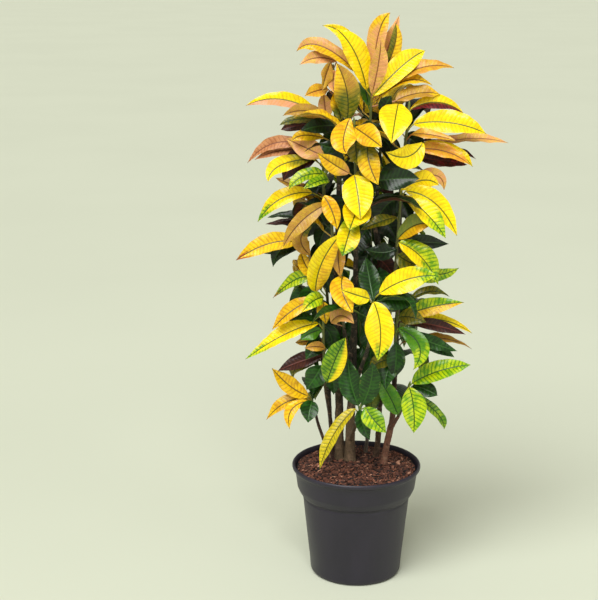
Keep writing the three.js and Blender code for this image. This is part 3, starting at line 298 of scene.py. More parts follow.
        ("yellow", -4, 430, -57, 360, -92, 267, 44, 91, 137, 36),
        ("dark", 8, 428, 15, 390, 34, 347, 38, 85, 95, 0),
        ("dark", 4, 438, -16, 500, -22, 560, 60, 81, 65, 0),
        ("dark", 14, 440, 34, 500, 36, 552, 56, 79, 69, 0),
    ],
}

# Dark leaves deeper in the crown, in the gaps between those, read in the same way.
INNER_LEAVES = {
    "left_high": [
        ("dark", -84, 906, -112, 896, -146, 858, 50, 4, -16, 10),
        ("dark", -80, 985, -108, 990, -136, 964, 44, 4, -14, 10),
        ("dark", -74, 962, -52, 940, -40, 896, 50, 10, 20, 0),
        ("dark", -78, 1070, -60, 1060, -38, 1010, 48, 6, 20, 0),
    ],
    "left_mid": [
        ("dark", -108, 792, -84, 772, -70, 726, 46, 40, 30, 0),
        ("dark", -104, 740, -122, 716, -128, 668, 44, 36, 40, 0),
    ],
    "centre_left": [
        ("dark", -62, 902, -84, 880, -98, 836, 48, 60, 40, 0),
        ("dark", -56, 830, -70, 800, -66, 752, 50, 60, 44, 0),
    ],
    "left_low": [
        ("dark", -84, 640, -66, 616, -62, 566, 50, 34, 24, 0),
        ("dark", -80, 540, -62, 514, -58, 466, 50, 30, 30, 0),
        ("dark", -84, 600, -104, 590, -128, 556, 46, 24, 10, 0),
    ],
    "inner_low": [
        ("dark", 2, 640, -32, 622, -52, 574, 54, 4, 20, 0),
        ("dark", 0, 612, -28, 586, -44, 532, 54, 0, 16, 0),
        ("dark", 4, 574, -12, 532, -40, 486, 54, 0, 24, 0),
        ("dark", 14, 580, 44, 560, 62, 514, 50, -6, 4, 0),
    ],
    "right_low": [
        ("dark", 92, 560, 74, 530, 72, 480, 50, 40, 30, 0),
        ("dark", 96, 640, 66, 628, 52, 580, 50, 40, 24, 0),
    ],
    "right_high": [
        ("dark", 102, 1030, 74, 1024, 52, 986, 50, 20, 10, 0),
        ("dark", 106, 1110, 130, 1100, 146, 1062, 46, 20, 10, 0),
    ],
    "back_low": [
        ("dark", 24, 604, 52, 576, 66, 524, 52, -90, -70, 0),
        ("dark", 22, 584, -4, 548, -14, 492, 54, -90, -70, 0),
        ("dark", 26, 670, 56, 646, 74, 598, 52, -90, -70, 0),
        ("dark", 24, 700, -2, 680, -22, 632, 54, -90, -70, 0),
        ("dark", 26, 770, 4, 748, -14, 700, 52, -90, -70, 0),
    ],
    "back_left": [
        ("dark", -70, 790, -48, 760, -34, 706, 54, -84, -60, 0),
        ("dark", -72, 704, -90, 668, -98, 616, 52, -84, -64, 0),
        ("dark", -70, 664, -50, 626, -46, 572, 54, -84, -64, 0),
        ("dark", -78, 850, -96, 824, -106, 776, 50, -84, -66, 0),
        ("dark", -78, 860, -50, 848, -30, 800, 50, -84, -62, 0),
    ],
    "back_right": [
        ("dark", 74, 862, 102, 840, 118, 790, 52, -84, -66, 0),
        ("dark", 76, 922, 52, 896, 42, 842, 52, -84, -66, 0),
        ("dark", 78, 970, 106, 950, 124, 902, 50, -84, -70, 0),
        ("dark", 72, 820, 60, 784, 70, 730, 50, -84, -66, 0),
    ],
    "back_high_left": [
        ("dark", -42, 964, -70, 940, -82, 888, 52, -80, -66, 0),
        ("dark", -44, 1044, -18, 1020, -10, 968, 54, -80, -60, 0),
        ("dark", -44, 934, -22, 900, -20, 846, 54, -80, -60, 0),
        ("dark", -44, 1110, -72, 1094, -92, 1046, 52, -80, -66, 0),
    ],
    "back_high_right": [
        ("dark", 46, 1064, 24, 1036, 18, 984, 52, -76, -60, 0),
        ("dark", 48, 1160, 22, 1142, 4, 1096, 52, -70, -56, 0),
        ("dark", 50, 1184, 80, 1168, 100, 1122, 48, -70, -56, 0),
        ("dark", 48, 1110, 72, 1086, 84, 1036, 50, -74, -60, 0),
    ],
}

# Trunks: foot is the place across and back on the ground, and the radius. Each branch is a line of
# points as seen from EYE, across, up, towards EYE and radius, and ends where its shoot starts. The
# first branch goes on from the foot.
TRUNKS = {
    "trunk_1": ((-66, 12, 5), [
        [(-73, 322, -16, 4.5), (-84, 352, -8, 4), (-97, 390, 6, 3.8), (-104, 420, 14, 3.5)],
    ]),
    "trunk_2": ((-56, 62, 6.5), [
        [(-61, 345, -54, 6), (-67, 410, -34, 5), (-78, 478, 24, 4)],
        [(-67, 410, -34, 5), (-80, 520, -18, 4.5), (-96, 610, 26, 4), (-100, 690, 55, 4)],
        [(-67, 410, -34, 5), (-70, 510, -64, 4.5), (-68, 620, -92, 4)],
    ]),
    "trunk_3": ((-41, 40, 12.5), [
        [(-44, 345, -40, 11.5), (-44, 430, -30, 10.5), (-47, 560, -14, 8.5), (-51, 720, -2, 6.5),
         (-52, 860, 3, 5.5), (-50, 1000, 4, 4.5)],
        [(-49, 640, -8, 6), (-66, 760, 2, 5), (-80, 880, 14, 4.5)],
        [(-47, 560, -14, 6), (-52, 690, 50, 5), (-58, 800, 87, 4.5)],
        [(-51, 720, -2, 6), (-44, 810, -52, 5), (-40, 900, -90, 4.5)],
    ]),
    "trunk_4": ((-15, 26, 13), [
        [(-17, 345, -28, 12), (-14, 430, -14, 11), (-11, 560, 18, 9), (-7, 720, 56, 6.5),
         (-6, 905, 102, 4.5)],
        [(-17, 345, -28, 6), (-8, 372, 26, 5), (2, 396, 75, 4)],
        [(-12, 520, 8, 6), (-25, 585, 50, 5), (-34, 640, 85, 4.5)],
        [(-13, 470, -8, 6), (8, 532, 66, 5), (26, 590, 122, 4.5)],
    ]),
    "trunk_5": ((24, 88, 4.5), [
        [(27, 360, -88, 4.5), (24, 460, -94, 4), (22, 560, -100, 4)],
        [(24, 440, -91, 4), (18, 500, -48, 4), (10, 560, -14, 4)],
    ]),
    "trunk_6": ((50, 56, 7.5), [
        [(54, 350, -54, 7), (58, 480, -38, 6.5), (60, 620, -16, 6), (54, 790, -4, 5.5),
         (38, 900, 2, 5), (24, 1000, 8, 4.5)],
        [(57, 440, -44, 6), (74, 490, 2, 5), (90, 540, 59, 4)],
        [(60, 620, -16, 6), (76, 700, 30, 5), (88, 770, 63, 4.5)],
        [(60, 620, -16, 6), (68, 710, -56, 5), (70, 790, -92, 4.5)],
        [(60, 640, -15, 5), (46, 700, -18, 4.5), (34, 755, -18, 4)],
        [(54, 790, -4, 5), (46, 900, -48, 4.5), (44, 1000, -84, 4)],
    ]),
    "trunk_7": ((69, 8, 8.5), [
        [(76, 335, -12, 8), (84, 376, -10, 8), (90, 420, -6, 7), (96, 620, 2, 6),
         (99, 800, 20, 5), (100, 1000, 40, 4.5)],
        [(84, 376, -10, 6), (96, 398, 16, 5), (104, 412, 40, 4)],
    ]),
}

# How many leaves each shoot has where the others hide them.
RULE_COUNT = {
    "top_right": 5, "top_left": 6, "right_high": 7, "centre_high": 6, "left_high": 7,
    "centre_left": 6, "right_mid": 3, "left_mid": 6, "centre_mid": 4, "centre_low": 3,
    "left_low": 3, "right_low": 5, "right_bottom": 2, "left_bottom": 3, "centre_bottom": 1,
    "back_low": 14, "back_left": 15, "back_right": 15, "back_high_left": 14,
    "back_high_right": 13, "inner_low": 2, "inner_mid": 3,
}

# What each leaf may have tried until it was clear of the others: a listed leaf was bent towards
# or away from EYE, and one placed by rule was turned about its shoot, some with a shorter blade.
BENDS = (0, -8, 8, -16, 16, -26, 26, -38, 38, -52, 52, -68, 68)
TRIES = ((0, 1), (12, 1), (-12, 1), (24, 0.9), (-24, 0.9), (0, 0.75), (38, 0.8), (-38, 0.8))

# ---- colours --------------------------------------------------------------------------------------


def paint(*rgb):
    """A colour given as 0 to 255 on a screen, made linear."""
    c = np.array(rgb) / 255
    return np.where(c <= 0.04045, c / 12.92, ((c + 0.055) / 1.055) ** 2.4)


# Each finish of a blade: its main colour, the colour of its patches, the colour of its veins, how much
# of it is patched, how strong its side veins are, and its roughness.
FINISHES = {
    "yellow": (paint(254, 226, 10), paint(238, 200, 8), paint(62, 84, 12), 0.34, 0.22, 0.30),
    "gold": (paint(243, 198, 16), paint(216, 158, 16), paint(84, 66, 16), 0.45, 0.24, 0.34),
    "orange": (paint(220, 148, 48), paint(234, 184, 44), paint(122, 70, 28), 0.50, 0.36, 0.38),
    "peach": (paint(224, 160, 102), paint(230, 184, 84), paint(132, 78, 48), 0.45, 0.38, 0.40),
    "tan": (paint(186, 134, 54), paint(208, 164, 48), paint(92, 58, 20), 0.50, 0.50, 0.40),
    "lime": (paint(196, 210, 18), paint(100, 154, 18), paint(30, 76, 12), 0.50, 0.60, 0.30),
    "leafy": (paint(150, 182, 22), paint(70, 124, 18), paint(26, 64, 10), 0.55, 0.65, 0.32),
    "mustard": (paint(216, 190, 20), paint(176, 160, 22), paint(70, 66, 10), 0.50, 0.75, 0.36),
    "green": (paint(62, 122, 18), paint(96, 148, 24), paint(22, 56, 10), 0.50, 0.45, 0.32),
    "deep": (paint(17, 50, 7), paint(34, 82, 12), paint(48, 94, 24), 0.40, 0.30, 0.34),
    "dark": (paint(11, 28, 8), paint(22, 52, 12), paint(46, 76, 28), 0.35, 0.20, 0.32),
    "maroon": (paint(46, 18, 16), paint(70, 34, 20), paint(104, 48, 40), 0.40, 0.30, 0.36),
    "olive": (paint(134, 122, 20), paint(84, 96, 20), paint(40, 56, 12), 0.50, 0.50, 0.36),
    "rust": (paint(176, 60, 26), paint(96, 40, 24), paint(80, 36, 20), 0.50, 0.20, 0.60),
    "wilted": (paint(202, 142, 94), paint(178, 114, 68), paint(122, 72, 46), 0.50, 0.50, 0.55),
    "crimson": (paint(122, 24, 34), paint(54, 18, 18), paint(66, 18, 20), 0.50, 0.35, 0.40),
    "pink": (paint(226, 156, 116), paint(216, 150, 92), paint(156, 88, 60), 0.40, 0.30, 0.45),
    "straw": (paint(210, 174, 62), paint(190, 154, 52), paint(140, 118, 48), 0.30, 0.40, 0.50),
    "wine": (paint(66, 26, 26), paint(54, 28, 22), paint(100, 54, 42), 0.30, 0.40, 0.45),
    "sage": (paint(112, 132, 54), paint(144, 152, 56), paint(66, 90, 34), 0.40, 0.50, 0.46),
}

# The finish of a blade's lower face, by that of the upper one.
UNDERSIDE = {
    "yellow": "straw", "gold": "straw", "orange": "pink", "peach": "pink", "tan": "tan",
    "lime": "sage", "green": "sage", "deep": "sage", "dark": "wine", "maroon": "wine", "olive": "tan",
}

# What sets single leaves apart, by shoot and row: another finish for the whole blade, for a side of it
# as it is seen or only that side's edge, for its tip or its base as far as a share of its length, or
# for its underside.
MARKS = {
    # This curled leaf's tan right side and olive base are partly its own colour, partly painted shade
    # where it curls away.
    ("top_left", 5): {"all": "gold", "right": "tan", "base": ("olive", 0.5)},
    ("top_right", 2): {"all": "peach", "tip": ("gold", 0.62)},
    ("top_right", 5): {"all": "gold", "left": "olive"},
    ("top_right", 10): {"all": "tan", "tip": ("gold", 0.8)},
    ("top_right", 11): {"lower": "gold"},
    ("left_high", 1): {"all": "wilted"},
    ("left_high", 2): {"all": "wilted"},
    ("centre_high", 7): {"tip": ("lime", 0.75), "base": ("lime", 0.3)},
    ("centre_high", 6): {"tip": ("lime", 0.9)},
    ("centre_high", 8): {"base": ("olive", 0.4)},
    ("right_mid", 5): {"tip": ("lime", 0.6)},
    ("right_low", 0): {"lower": "gold"},
    ("right_low", 4): {"all": "green", "tip": ("lime", 0.6)},
    ("left_mid", 0): {"tip": ("olive", 0.7)},
    ("left_mid", 1): {"tip": ("rust", 0.9)},
    ("left_mid", 5): {"right": "gold"},
    ("left_mid", 6): {"tip": ("yellow", 0.8)},
    ("left_mid", 8): {"tip": ("rust", 0.9)},
    ("left_low", 9): {"all": "leafy", "right_edge": "yellow"},
    ("left_low", 1): {"tip": ("lime", 0.8)},
    ("centre_bottom", 0): {"left": "lime", "right": "leafy"},
    ("centre_bottom", 1): {"all": "mustard", "under": "straw"},
    ("right_bottom", 2): {"all": "lime"},
    ("right_bottom", 3): {"all": "leafy"},
    ("centre_mid", 2): {"tip": ("lime", 0.82)},
    ("centre_mid", 1): {"tip": ("lime", 0.7)},
    ("right_high", 0): {"lower": "crimson", "under": "crimson"},
    ("right_high", 5): {"tip": ("crimson", 0.5)},
    ("top_left", 7): {"upper": "yellow", "lower": "pink", "under": "pink"},
    ("top_left", 6): {"all": "gold", "base": ("olive", 0.45)},
    ("left_bottom", 1): {"under": "maroon"},
    ("right_mid", 2): {"upper": "sage", "lower": "gold"},
    ("right_mid", 0): {"upper": "lime", "tip": ("lime", 0.6)},
    ("left_high", 4): {"base": ("olive", 0.3)},
    ("left_high", 9): {"tip": ("lime", 0.75)},
    ("centre_high", 4): {"base": ("peach", 0.25)},
    ("centre_high", 2): {"base": ("olive", 0.4)},
    ("right_low", 8): {"tip": ("dark", 0.7)},
}

# The axis that a marked side is told by, its sign, and where it starts in side times s.
MARK_SIDES = {"left": (0, -1, 0.0), "right": (0, 1, 0.0), "upper": (2, 1, 0.0), "lower": (2, -1, 0.0),
              "right_edge": (0, 1, 0.42)}

# ---- places ---------------------------------------------------------------------------------------


def unit(v):
    """Each vector of an array, made one long."""
    return v / np.linalg.norm(v, axis=-1, keepdims=True)


def seen(x, z, toward):
    """The point that lies toward millimetres from (x, 0, z) on the straight line to EYE."""
    on_plane = np.array([x, 0.0, z])
    return on_plane + toward * unit(EYE - on_plane)


def seen_points(rows):
    """The places of rows that start with across, up and towards EYE."""
    return np.array([seen(*row[:3]) for row in rows])


def smooth(points, before, after, steps):
    """A uniform Catmull-Rom curve through points, cut in steps between each two of them.

    With neighbours p0 and p3, the span from p1 to p2 is half of
    2 p1 + (p2 - p0) t + (2 p0 - 5 p1 + 4 p2 - p3) t^2 + (3 p1 - p0 - 3 p2 + p3) t^3.
    """
    line = np.vstack([before, points, after])
    t = (np.arange(steps) / steps)[None, :, None]
    p0, p1, p2, p3 = (line[k:len(line) - 3 + k, None] for k in range(4))
    spans = p1 + 0.5 * ((p2 - p0) * t + (2 * p0 - 5 * p1 + 4 * p2 - p3) * t ** 2
                        + (3 * p1 - p0 - 3 * p2 + p3) * t ** 3)
    return np.vstack([spans.reshape(-1, 3), points[-1:]])


def distances(line):
    """How far along a line of points each of them lies."""
    return np.concatenate([[0], np.cumsum(np.linalg.norm(np.diff(line, axis=0), axis=1))])


# ---- blades ---------------------------------------------------------------------------------------


def midrib(leaf, t):
    """Centre, face and side of a blade at each t: the centre is the quadratic through base, middle
    and tip, face is the leaf's own made square to that curve, and side is the curve crossed with face."""
    t = np.asarray(t, float)[:, None]
    base, middle, tip = leaf["base"], leaf["middle"], leaf["tip"]
    centre = (1 - t) * (1 - 2 * t) * base + 4 * t * (1 - t) * middle + t * (2 * t - 1) * tip
    along = unit((4 * t - 3) * base + (4 - 8 * t) * middle + (4 * t - 1) * tip)
    face = unit(leaf["face"] - along * (along @ leaf["face"])[:, None])
    return centre, face, np.cross(along, face)


def half_width(t, width):
    """Half the width of a blade at t: width / 2 times sin(pi t^0.92) to the power 0.62 - 0.1 t."""
    t = np.asarray(t, float)
    return 0.5 * width * np.maximum(0, np.sin(np.pi * t ** 0.92)) ** (0.62 - 0.1 * t)


def pointed_half_width(t, width):
    """The same for the blade that is seen, with a longer point: the power is 0.74 + 0.3 t^3."""
    return 0.5 * width * np.maximum(0, np.sin(np.pi * t ** 0.92)) ** (0.74 + 0.3 * t ** 3)


def long_wave(leaf, t, s, half):
    """WAVE s^2 sin(3 pi t + phase + s), times half / WAVE_CALM where half is less than that."""
    return WAVE * s * s * np.sin(3 * np.pi * t + leaf["phase"] + s) * np.minimum(1, half / WAVE_CALM)


def rim_points(leaf):
    """The tip of a blade, and its two edges where its solid is cut across."""
    t = np.array(leaf["stations"][1:-1], float)
    centre, face, side = midrib(leaf, t)
    half = half_width(t, leaf["width"])[:, None]
    points = [leaf["tip"][None]]
    for s in (-1.0, 1.0):
        lift = half * math.sin(FOLD) + long_wave(leaf, t[:, None], s, half)
        points.append(centre + side * s * half * math.cos(FOLD) + face * lift)
    return np.vstack(points)


BASE_BEND = 0.25              # share of a leaf's bend that its base takes
MIDDLE_REACH = 0.55           # how far from the base's distance to the tip's its middle lies
LEVEL_LIMIT = 0.3             # a side that rises less than this is told by left and right


def read_leaf(row, bend):
    """A listed leaf. bend moves its tip nearer, and its base a little."""
    colour, base_x, base_z, middle_x, middle_z, tip_x, tip_z, width, near, far, turn = row
    tip_toward = far + bend
    base_toward = near + BASE_BEND * bend
    base = seen(base_x, base_z, base_toward)
    tip = seen(tip_x, tip_z, tip_toward)
    middle = seen(middle_x, middle_z, base_toward + MIDDLE_REACH * (tip_toward - base_toward))
    view = unit(EYE - middle)
    side = unit(np.cross(tip - base, view))
    if (side[2] if abs(side[2]) > LEVEL_LIMIT else side[0]) < 0:
        side = -side
    angle = math.radians(turn)
    stations = SHORT_STATIONS if np.linalg.norm(tip - base) < LONG_LEAF else LONG_STATIONS
    return {"colour": colour, "base": base, "middle": middle, "tip": tip, "width": width,
            "face": view * math.cos(angle) + side * math.sin(angle), "phase": 0.1 * base_x,
            "stations": stations}


def stalk_root(axis, base):
    """The nearest place on the shoot to a point a little under the blade's base."""
    low = base - STALK_DROP * UP
    run = np.diff(axis, axis=0)
    u = np.clip(((low - axis[:-1]) * run).sum(1) / (run ** 2).sum(1), *STALK_SPAN)
    points = axis[:-1] + run * u[:, None]
    return points[np.linalg.norm(points - low, axis=1).argmin()]


def draws(seed):
    """A linear congruential generator: the same numbers from 0 to 1 each time."""
    state = seed
    while True:
        state = (state * 1664525 + 1013904223) % 4294967296
        yield state / 4294967296


# A leaf placed by rule. Its place on the shoot steps by GOLDEN_SHARE within RULE_SPAN. Its length and
# its width for each millimetre of length are a least value and how much a draw adds. The angles at
# which the first and the second half of its blade rise, in degrees, are a young leaf's, what a full
# age adds, and the span of its draw. Its age grows from 0 at YOUNG down to 1 at AGED lower. Its colour
# goes by its level, which is 0 at LEVEL_FOOT and 1 at LEVEL_SPAN above it, moved a little by a draw.
RULE_SEED = 1000
GOLDEN_SHARE = 0.618034
RULE_SPAN = (0.05, 0.92)
RULE_TURN = 2.3               # radians that each shoot starts further round than the last
RULE_LENGTH = (130, 65)
RULE_WIDTH = (0.36, 0.08)
RULE_RISE = (48, -52, 30)
RULE_FALL = (-2, -66, 40)
RULE_STALK, STALK_OUT, STALK_UP = 26, 0.85, 0.53         # its length, and its direction outwards and up
YOUNG, AGED = 1250, 800
# Inside the crown, draws below these shares are dark and then green, and below that level all is dark:
# partly the older leaves' own dark green, partly painted shade deep in the crown.
INNER_SHARES, INNER_TOP = (0.7, 0.8), 0.5
RULE_TRIES = 9                # leaves thought of for each one that is wanted
# Elsewhere, the level below which a leaf is dark, and so on up, and peach above the last.
RULE_BANDS = ((0.12, "dark"), (0.3, "green"), (0.5, "lime"), (0.8, "yellow"), (1, "gold"))
LEVEL_FOOT, LEVEL_SPAN, LEVEL_SPREAD = 450, 800, 0.7


def rule_colour(inner, level, dice):
    """The colour of a leaf placed by rule: by level, from 0 low down to 1 at the top, and inside the
    crown mostly dark, partly the older leaves' own dark green and partly painted shade deep in the crown."""
    if inner:
        if dice < INNER_SHARES[0] or level < INNER_TOP:
            return "dark"
        return "green" if dice < INNER_SHARES[1] else "gold"
    for limit, colour in RULE_BANDS:
        if level < limit:
            return colour
    return "peach"


def rule_leaves(node, seed):
    """Leaves that the others hide, as lists of tries: they follow one another up the shoot by the
    golden angle, and each may be turned about the shoot or have a shorter blade."""
    axis = seen_points(SHOOTS[node])
    draw = draws(RULE_SEED + seed)
    at_back = node.startswith("back")
    for k in range(RULE_COUNT[node] * RULE_TRIES):
        u = RULE_SPAN[0] + RULE_SPAN[1] * ((k * GOLDEN_SHARE) % 1)
        angle = GOLDEN_ANGLE * k + RULE_TURN * seed
        size, slim, rising, hanging, dice, phase = (next(draw) for _ in range(6))
        if not at_back and math.sin(angle) < FRONT_LIMIT:
            continue
        spans = len(axis) - 1
        i = min(int(u * spans), spans - 1)
        root = axis[i] + (axis[i + 1] - axis[i]) * (u * spans - i)
        age = min(max((YOUNG - root[2]) / AGED, 0), 1)
        tries = []
        for veer, short in TRIES:
            heading = angle + math.radians(veer)
            length = (RULE_LENGTH[0] + RULE_LENGTH[1] * size) * short
            rise = math.radians(RULE_RISE[0] + RULE_RISE[1] * age + RULE_RISE[2] * (rising - 0.5))
            fall = math.radians(RULE_FALL[0] + RULE_FALL[1] * age + RULE_FALL[2] * (hanging - 0.5))
            out = np.array([math.cos(heading), math.sin(heading), 0])
            base = root + out * RULE_STALK * STALK_OUT + UP * RULE_STALK * STALK_UP
            middle = base + 0.5 * length * (out * math.cos(rise) + UP * math.sin(rise))
            tip = middle + 0.5 * length * (out * math.cos(fall) + UP * math.sin(fall))
            inner = not at_back or math.sin(heading) < FRONT_LIMIT
            lean = (rise + fall) / 2
            level = (root[2] - LEVEL_FOOT) / LEVEL_SPAN + LEVEL_SPREAD * (dice - 0.5)
            tries.append({
                "colour": rule_colour(inner, level, dice),
                "base": base, "middle": middle, "tip": tip, "root": root,
                "width": length * (RULE_WIDTH[0] + RULE_WIDTH[1] * slim),
                "face": UP * math.cos(lean) - out * math.sin(lean),
                "phase": 6.28 * phase, "stations": SHORT_STATIONS, "row": None,
            })
        yield tries


SAME_PLACE = 0.05             # a computed corner of a solid lies this near to the real one


def on_frame(leaf, corners):
    """Whether most of a blade's tip and edge points are corners of its solid."""
    apart = np.linalg.norm(rim_points(leaf)[:, None] - corners[None], axis=2).min(1)
    return (apart < SAME_PLACE).mean() > 0.5


def grown_leaves(node, seed):
    """The leaves of a shoot, each as its solid has it."""
    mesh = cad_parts[node].data
    corners = np.empty(len(mesh.vertices) * 3)
    mesh.vertices.foreach_get("co", corners)
    corners = np.unique(corners.reshape(-1, 3).round(6), axis=0) / MM
    axis = seen_points(SHOOTS[node])
    grown = []
    for number, row in enumerate(LEAVES.get(node, []) + INNER_LEAVES.get(node, [])):
        leaf = next((one for one in (read_leaf(row, bend) for bend in BENDS)
                     if on_frame(one, corners)), None)
        if leaf:
            grown.append({**leaf, "root": stalk_root(axis, leaf["base"]), "row": number})
    made = 0
    for tries in rule_leaves(node, seed):
        leaf = next((one for one in tries if on_frame(one, corners)), None)
        if leaf and made < RULE_COUNT[node]:
            grown.append(leaf)
            made += 1
    return grown


# ---- meshes ---------------------------------------------------------------------------------------


def ring_faces(stations, sides):
    """Quads between neighbouring rings of points, seen from outside against the clock."""
    i, k = np.meshgrid(np.arange(stations - 1), np.arange(sides), indexing="ij")
    a = i * sides + k
    b = i * sides + (k + 1) % sides
    return np.stack([a, b, b + sides, a + sides], -1).reshape(-1, 4)


def fan(ring, point, outward_last):
    """Triangles that close a ring of points on a point."""
    after = np.roll(ring, -1)
    a, b = (ring, after) if outward_last else (after, ring)
    return np.stack([a, b, np.full(len(ring), point)], -1)


class Skins:
    """Closed skins over rings of points, gathered in one mesh with values for each point."""

    def __init__(self):
        self.points, self.quads, self.triangles = [], [], []
        self.materials = [[], []]
        self.values = {}
        self.count = 0

    def add(self, rings, material, values):
        """rings is (stations, sides, 3). Its two ends close on the middle of the end rings. values
        holds one array of (stations, sides, size) or one value for each name."""
        stations, sides = rings.shape[:2]
        points = np.vstack([rings.reshape(-1, 3), rings[0].mean(0), rings[-1].mean(0)])
        first, last = stations * sides, stations * sides + 1
        quads = ring_faces(stations, sides) + self.count
        start = fan(np.arange(sides), first, False)
        end = fan(np.arange(sides) + (stations - 1) * sides, last, True)
        triangles = np.vstack([start, end]) + self.count
        for name, value in values.items():
            value = np.asarray(value, float)
            if value.ndim < 2:
                rows = np.broadcast_to(value, (len(points),) + value.shape)
            else:
                flat = value.reshape((stations * sides,) + value.shape[2:])
                rows = np.concatenate([flat, value[0].mean(0)[None], value[-1].mean(0)[None]])
            self.values.setdefault(name, []).append(rows)
        self.points.append(points)
        self.quads.append(quads)
        self.triangles.append(triangles)
        self.materials[0].append(np.full(len(quads), material))
        self.materials[1].append(np.full(len(triangles), material))
        self.count += len(points)

    def piece(self, name, materials, rims=None):
        """The object, at the origin, in metres. rims names a value that is 1 along sharp edges."""
        mesh = bpy.data.meshes.new(name)
        faces = np.vstack(self.quads).tolist() + np.vstack(self.triangles).tolist()
        mesh.from_pydata((np.vstack(self.points) * MM).tolist(), [], faces)
        numbers = np.concatenate(self.materials[0] + self.materials[1]).astype(np.int32)
        return finished(name, mesh, numbers, {k: np.concatenate(v) for k, v in self.values.items()},
                        materials, rims)


def finished(name, mesh, numbers, values, materials, rims=None):
    """Puts materials, values at the points and smooth shading on a mesh, and makes its object."""
    for material in materials:
        mesh.materials.append(material)
    mesh.polygons.foreach_set("material_index", numbers)
    mesh.polygons.foreach_set("use_smooth", np.ones(len(mesh.polygons), bool))
    for key, value in values.items():
        if value.ndim == 1:
            mesh.attributes.new(key, "FLOAT", "POINT").data.foreach_set("value", value.astype(np.float32))
        else:
            vectors = mesh.attributes.new(key, "FLOAT_VECTOR", "POINT")
            vectors.data.foreach_set("vector", value.astype(np.float32).ravel())
    if rims:
        ends = np.empty(len(mesh.edges) * 2, np.int32)
        mesh.edges.foreach_get("vertices", ends)
        sharp = (values[rims][ends.reshape(-1, 2)] > 0.5).all(1)
        mesh.attributes.new("sharp_edge", "BOOLEAN", "EDGE").data.foreach_set("value", sharp)
    mesh.update()
    piece = bpy.data.objects.new(name, mesh)
    bpy.context.scene.collection.objects.link(piece)
    return piece


def tube(line, radii, sides):
    """Rings round a line, square to it: at an angle w from the direction across it, each point lies
    radius * (across cos w + away sin w) from the line, where across is level and away completes them."""
    along = unit(np.gradient(line, axis=0))
    across = unit(np.cross(np.array([0.0, 1.0, 0.0]), along))
    away = np.cross(along, across)
    w = 2 * np.pi * (np.arange(sides) + 0.5) / sides
    around = across[:, None] * np.cos(w)[None, :, None] + away[:, None] * np.sin(w)[None, :, None]
    return line[:, None] + np.asarray(radii).reshape(len(line), -1)[..., None] * around


# ---- a leaf ---------------------------------------------------------------------------------------

READ_GRID = (30, 11)          # points along a blade, and from edge to edge on its upper face
RULE_GRID = (20, 7)           # the same where others hide it
RIPPLE_LENGTH = (26.0, 44.0)  # of the short waves along the edge
RIPPLE = (0.6, 1.9)           # their height
ARCH = (0.08, 0.34)           # how much each half bulges between midrib and edge
LEAN = 0.07                   # how much wider one half is than the other
BLADE_THICKNESS = 0.35        # half of it, beside the midrib
RIB_DEPTH = 1.1               # how far the midrib stands out under the blade
RIB_REACH = 1.8               # how far beside the midrib that fades
EDGE = 0.999                  # past this s or t, a point is on the blade's edge or at its tip
CALM_WIDTH = 14               # ripples are lower where half the blade is narrower than this
FIRST, CROWDING = 0.05, 0.55  # where stations along a blade start, and how they crowd at its ends
EDGE_CROWDING = 1.25          # and how the points across it crowd at the midrib


def blade_rings(leaf, rng):
    """A blade as rings of points: over its upper face from the left edge to the right, and back under it.

    At t along the midrib and s across, from -1 to 1, the height above the midrib is
    |s| half sin(FOLD) + arch half (|s| - s^2) + the long wave + the ripple, and the upper and the
    lower face lie a little above and below that, and meet along the edges. Each half is wider or
    narrower by a slow wave along the blade.
    """
    stations, columns = RULE_GRID if leaf["row"] is None else READ_GRID
    ripple_length, height, arch = rng.uniform(*np.transpose([RIPPLE_LENGTH, RIPPLE, ARCH]))
    shifts = rng.uniform(0, 2 * np.pi, 4)
    t = (1 - np.cos(np.linspace(FIRST, 1, stations) * np.pi)) / 2
    t = CROWDING * t + (1 - CROWDING) * np.linspace(t[0], 1, stations)
    t[-1] = EDGE
    u = np.linspace(-1, 1, columns)
    over = np.sign(u) * np.abs(u) ** EDGE_CROWDING
    s = np.concatenate([over, over[-2:0:-1]])[None, :]
    face_sign = np.concatenate([np.ones(columns), -np.ones(columns - 2)])[None, :]
    face_sign = np.where(np.abs(s) > EDGE, 0, face_sign)
    centre, face, side = midrib(leaf, t)
    half = np.maximum(pointed_half_width(t, leaf["width"]), 0.5)[:, None]
    along = distances(centre)
    column = t[:, None]
    slow = np.where(s > 0, np.sin(5 * column + shifts[0]), np.sin(6 * column + shifts[1]))
    half = half * (1 + LEAN * slow)
    calm = np.minimum(1, half / CALM_WIDTH)
    turn = np.where(s > 0, shifts[2], shifts[3])
    ripple = height * np.abs(s) ** 3 * np.sin(2 * np.pi * along[:, None] / ripple_length + turn) * calm
    lift = half * (np.abs(s) * math.sin(FOLD) + arch * (np.abs(s) - s * s))
    lift = lift + long_wave(leaf, column, s, half) + ripple
    thick = BLADE_THICKNESS * (1 - 0.6 * np.abs(s)) * np.minimum(1, half / 3)
    rib = RIB_DEPTH * (1 - 0.75 * column) * np.exp(-(np.abs(s) * half / RIB_REACH) ** 2)
    offset = np.where(face_sign > 0, thick, np.where(face_sign < 0, -thick - rib, 0))
    points = centre[:, None] + (side[:, None] * (s * half * math.cos(FOLD))[..., None]
                                + face[:, None] * (lift + offset)[..., None])
    points = np.clip(points, *ROOM)
    return {"points": points, "t": column + 0 * s, "s": s + 0 * column, "half": half + 0 * s,
            "along": along[:, None] + 0 * s, "under": face_sign < 0}, side


def step(x, start, end):
    """0 before start and 1 past end, and 3 x^2 - 2 x^3 between them."""
    x = np.clip((x - start) / (end - start), 0, 1)
    return x * x * (3 - 2 * x)


SHADE_SPREAD, WARM_SPREAD = 0.16, 0.10   # how much blades of one finish differ
SIDE_BLEND = (-0.04, 0.12)    # where a marked side starts and is full, in side times s
TIP_BLEND, TIP_WAVE = 0.08, 0.08         # half the length of a marked tip's border, and how it waves
BASE_BLEND, BASE_WAVE = 0.15, 0.05


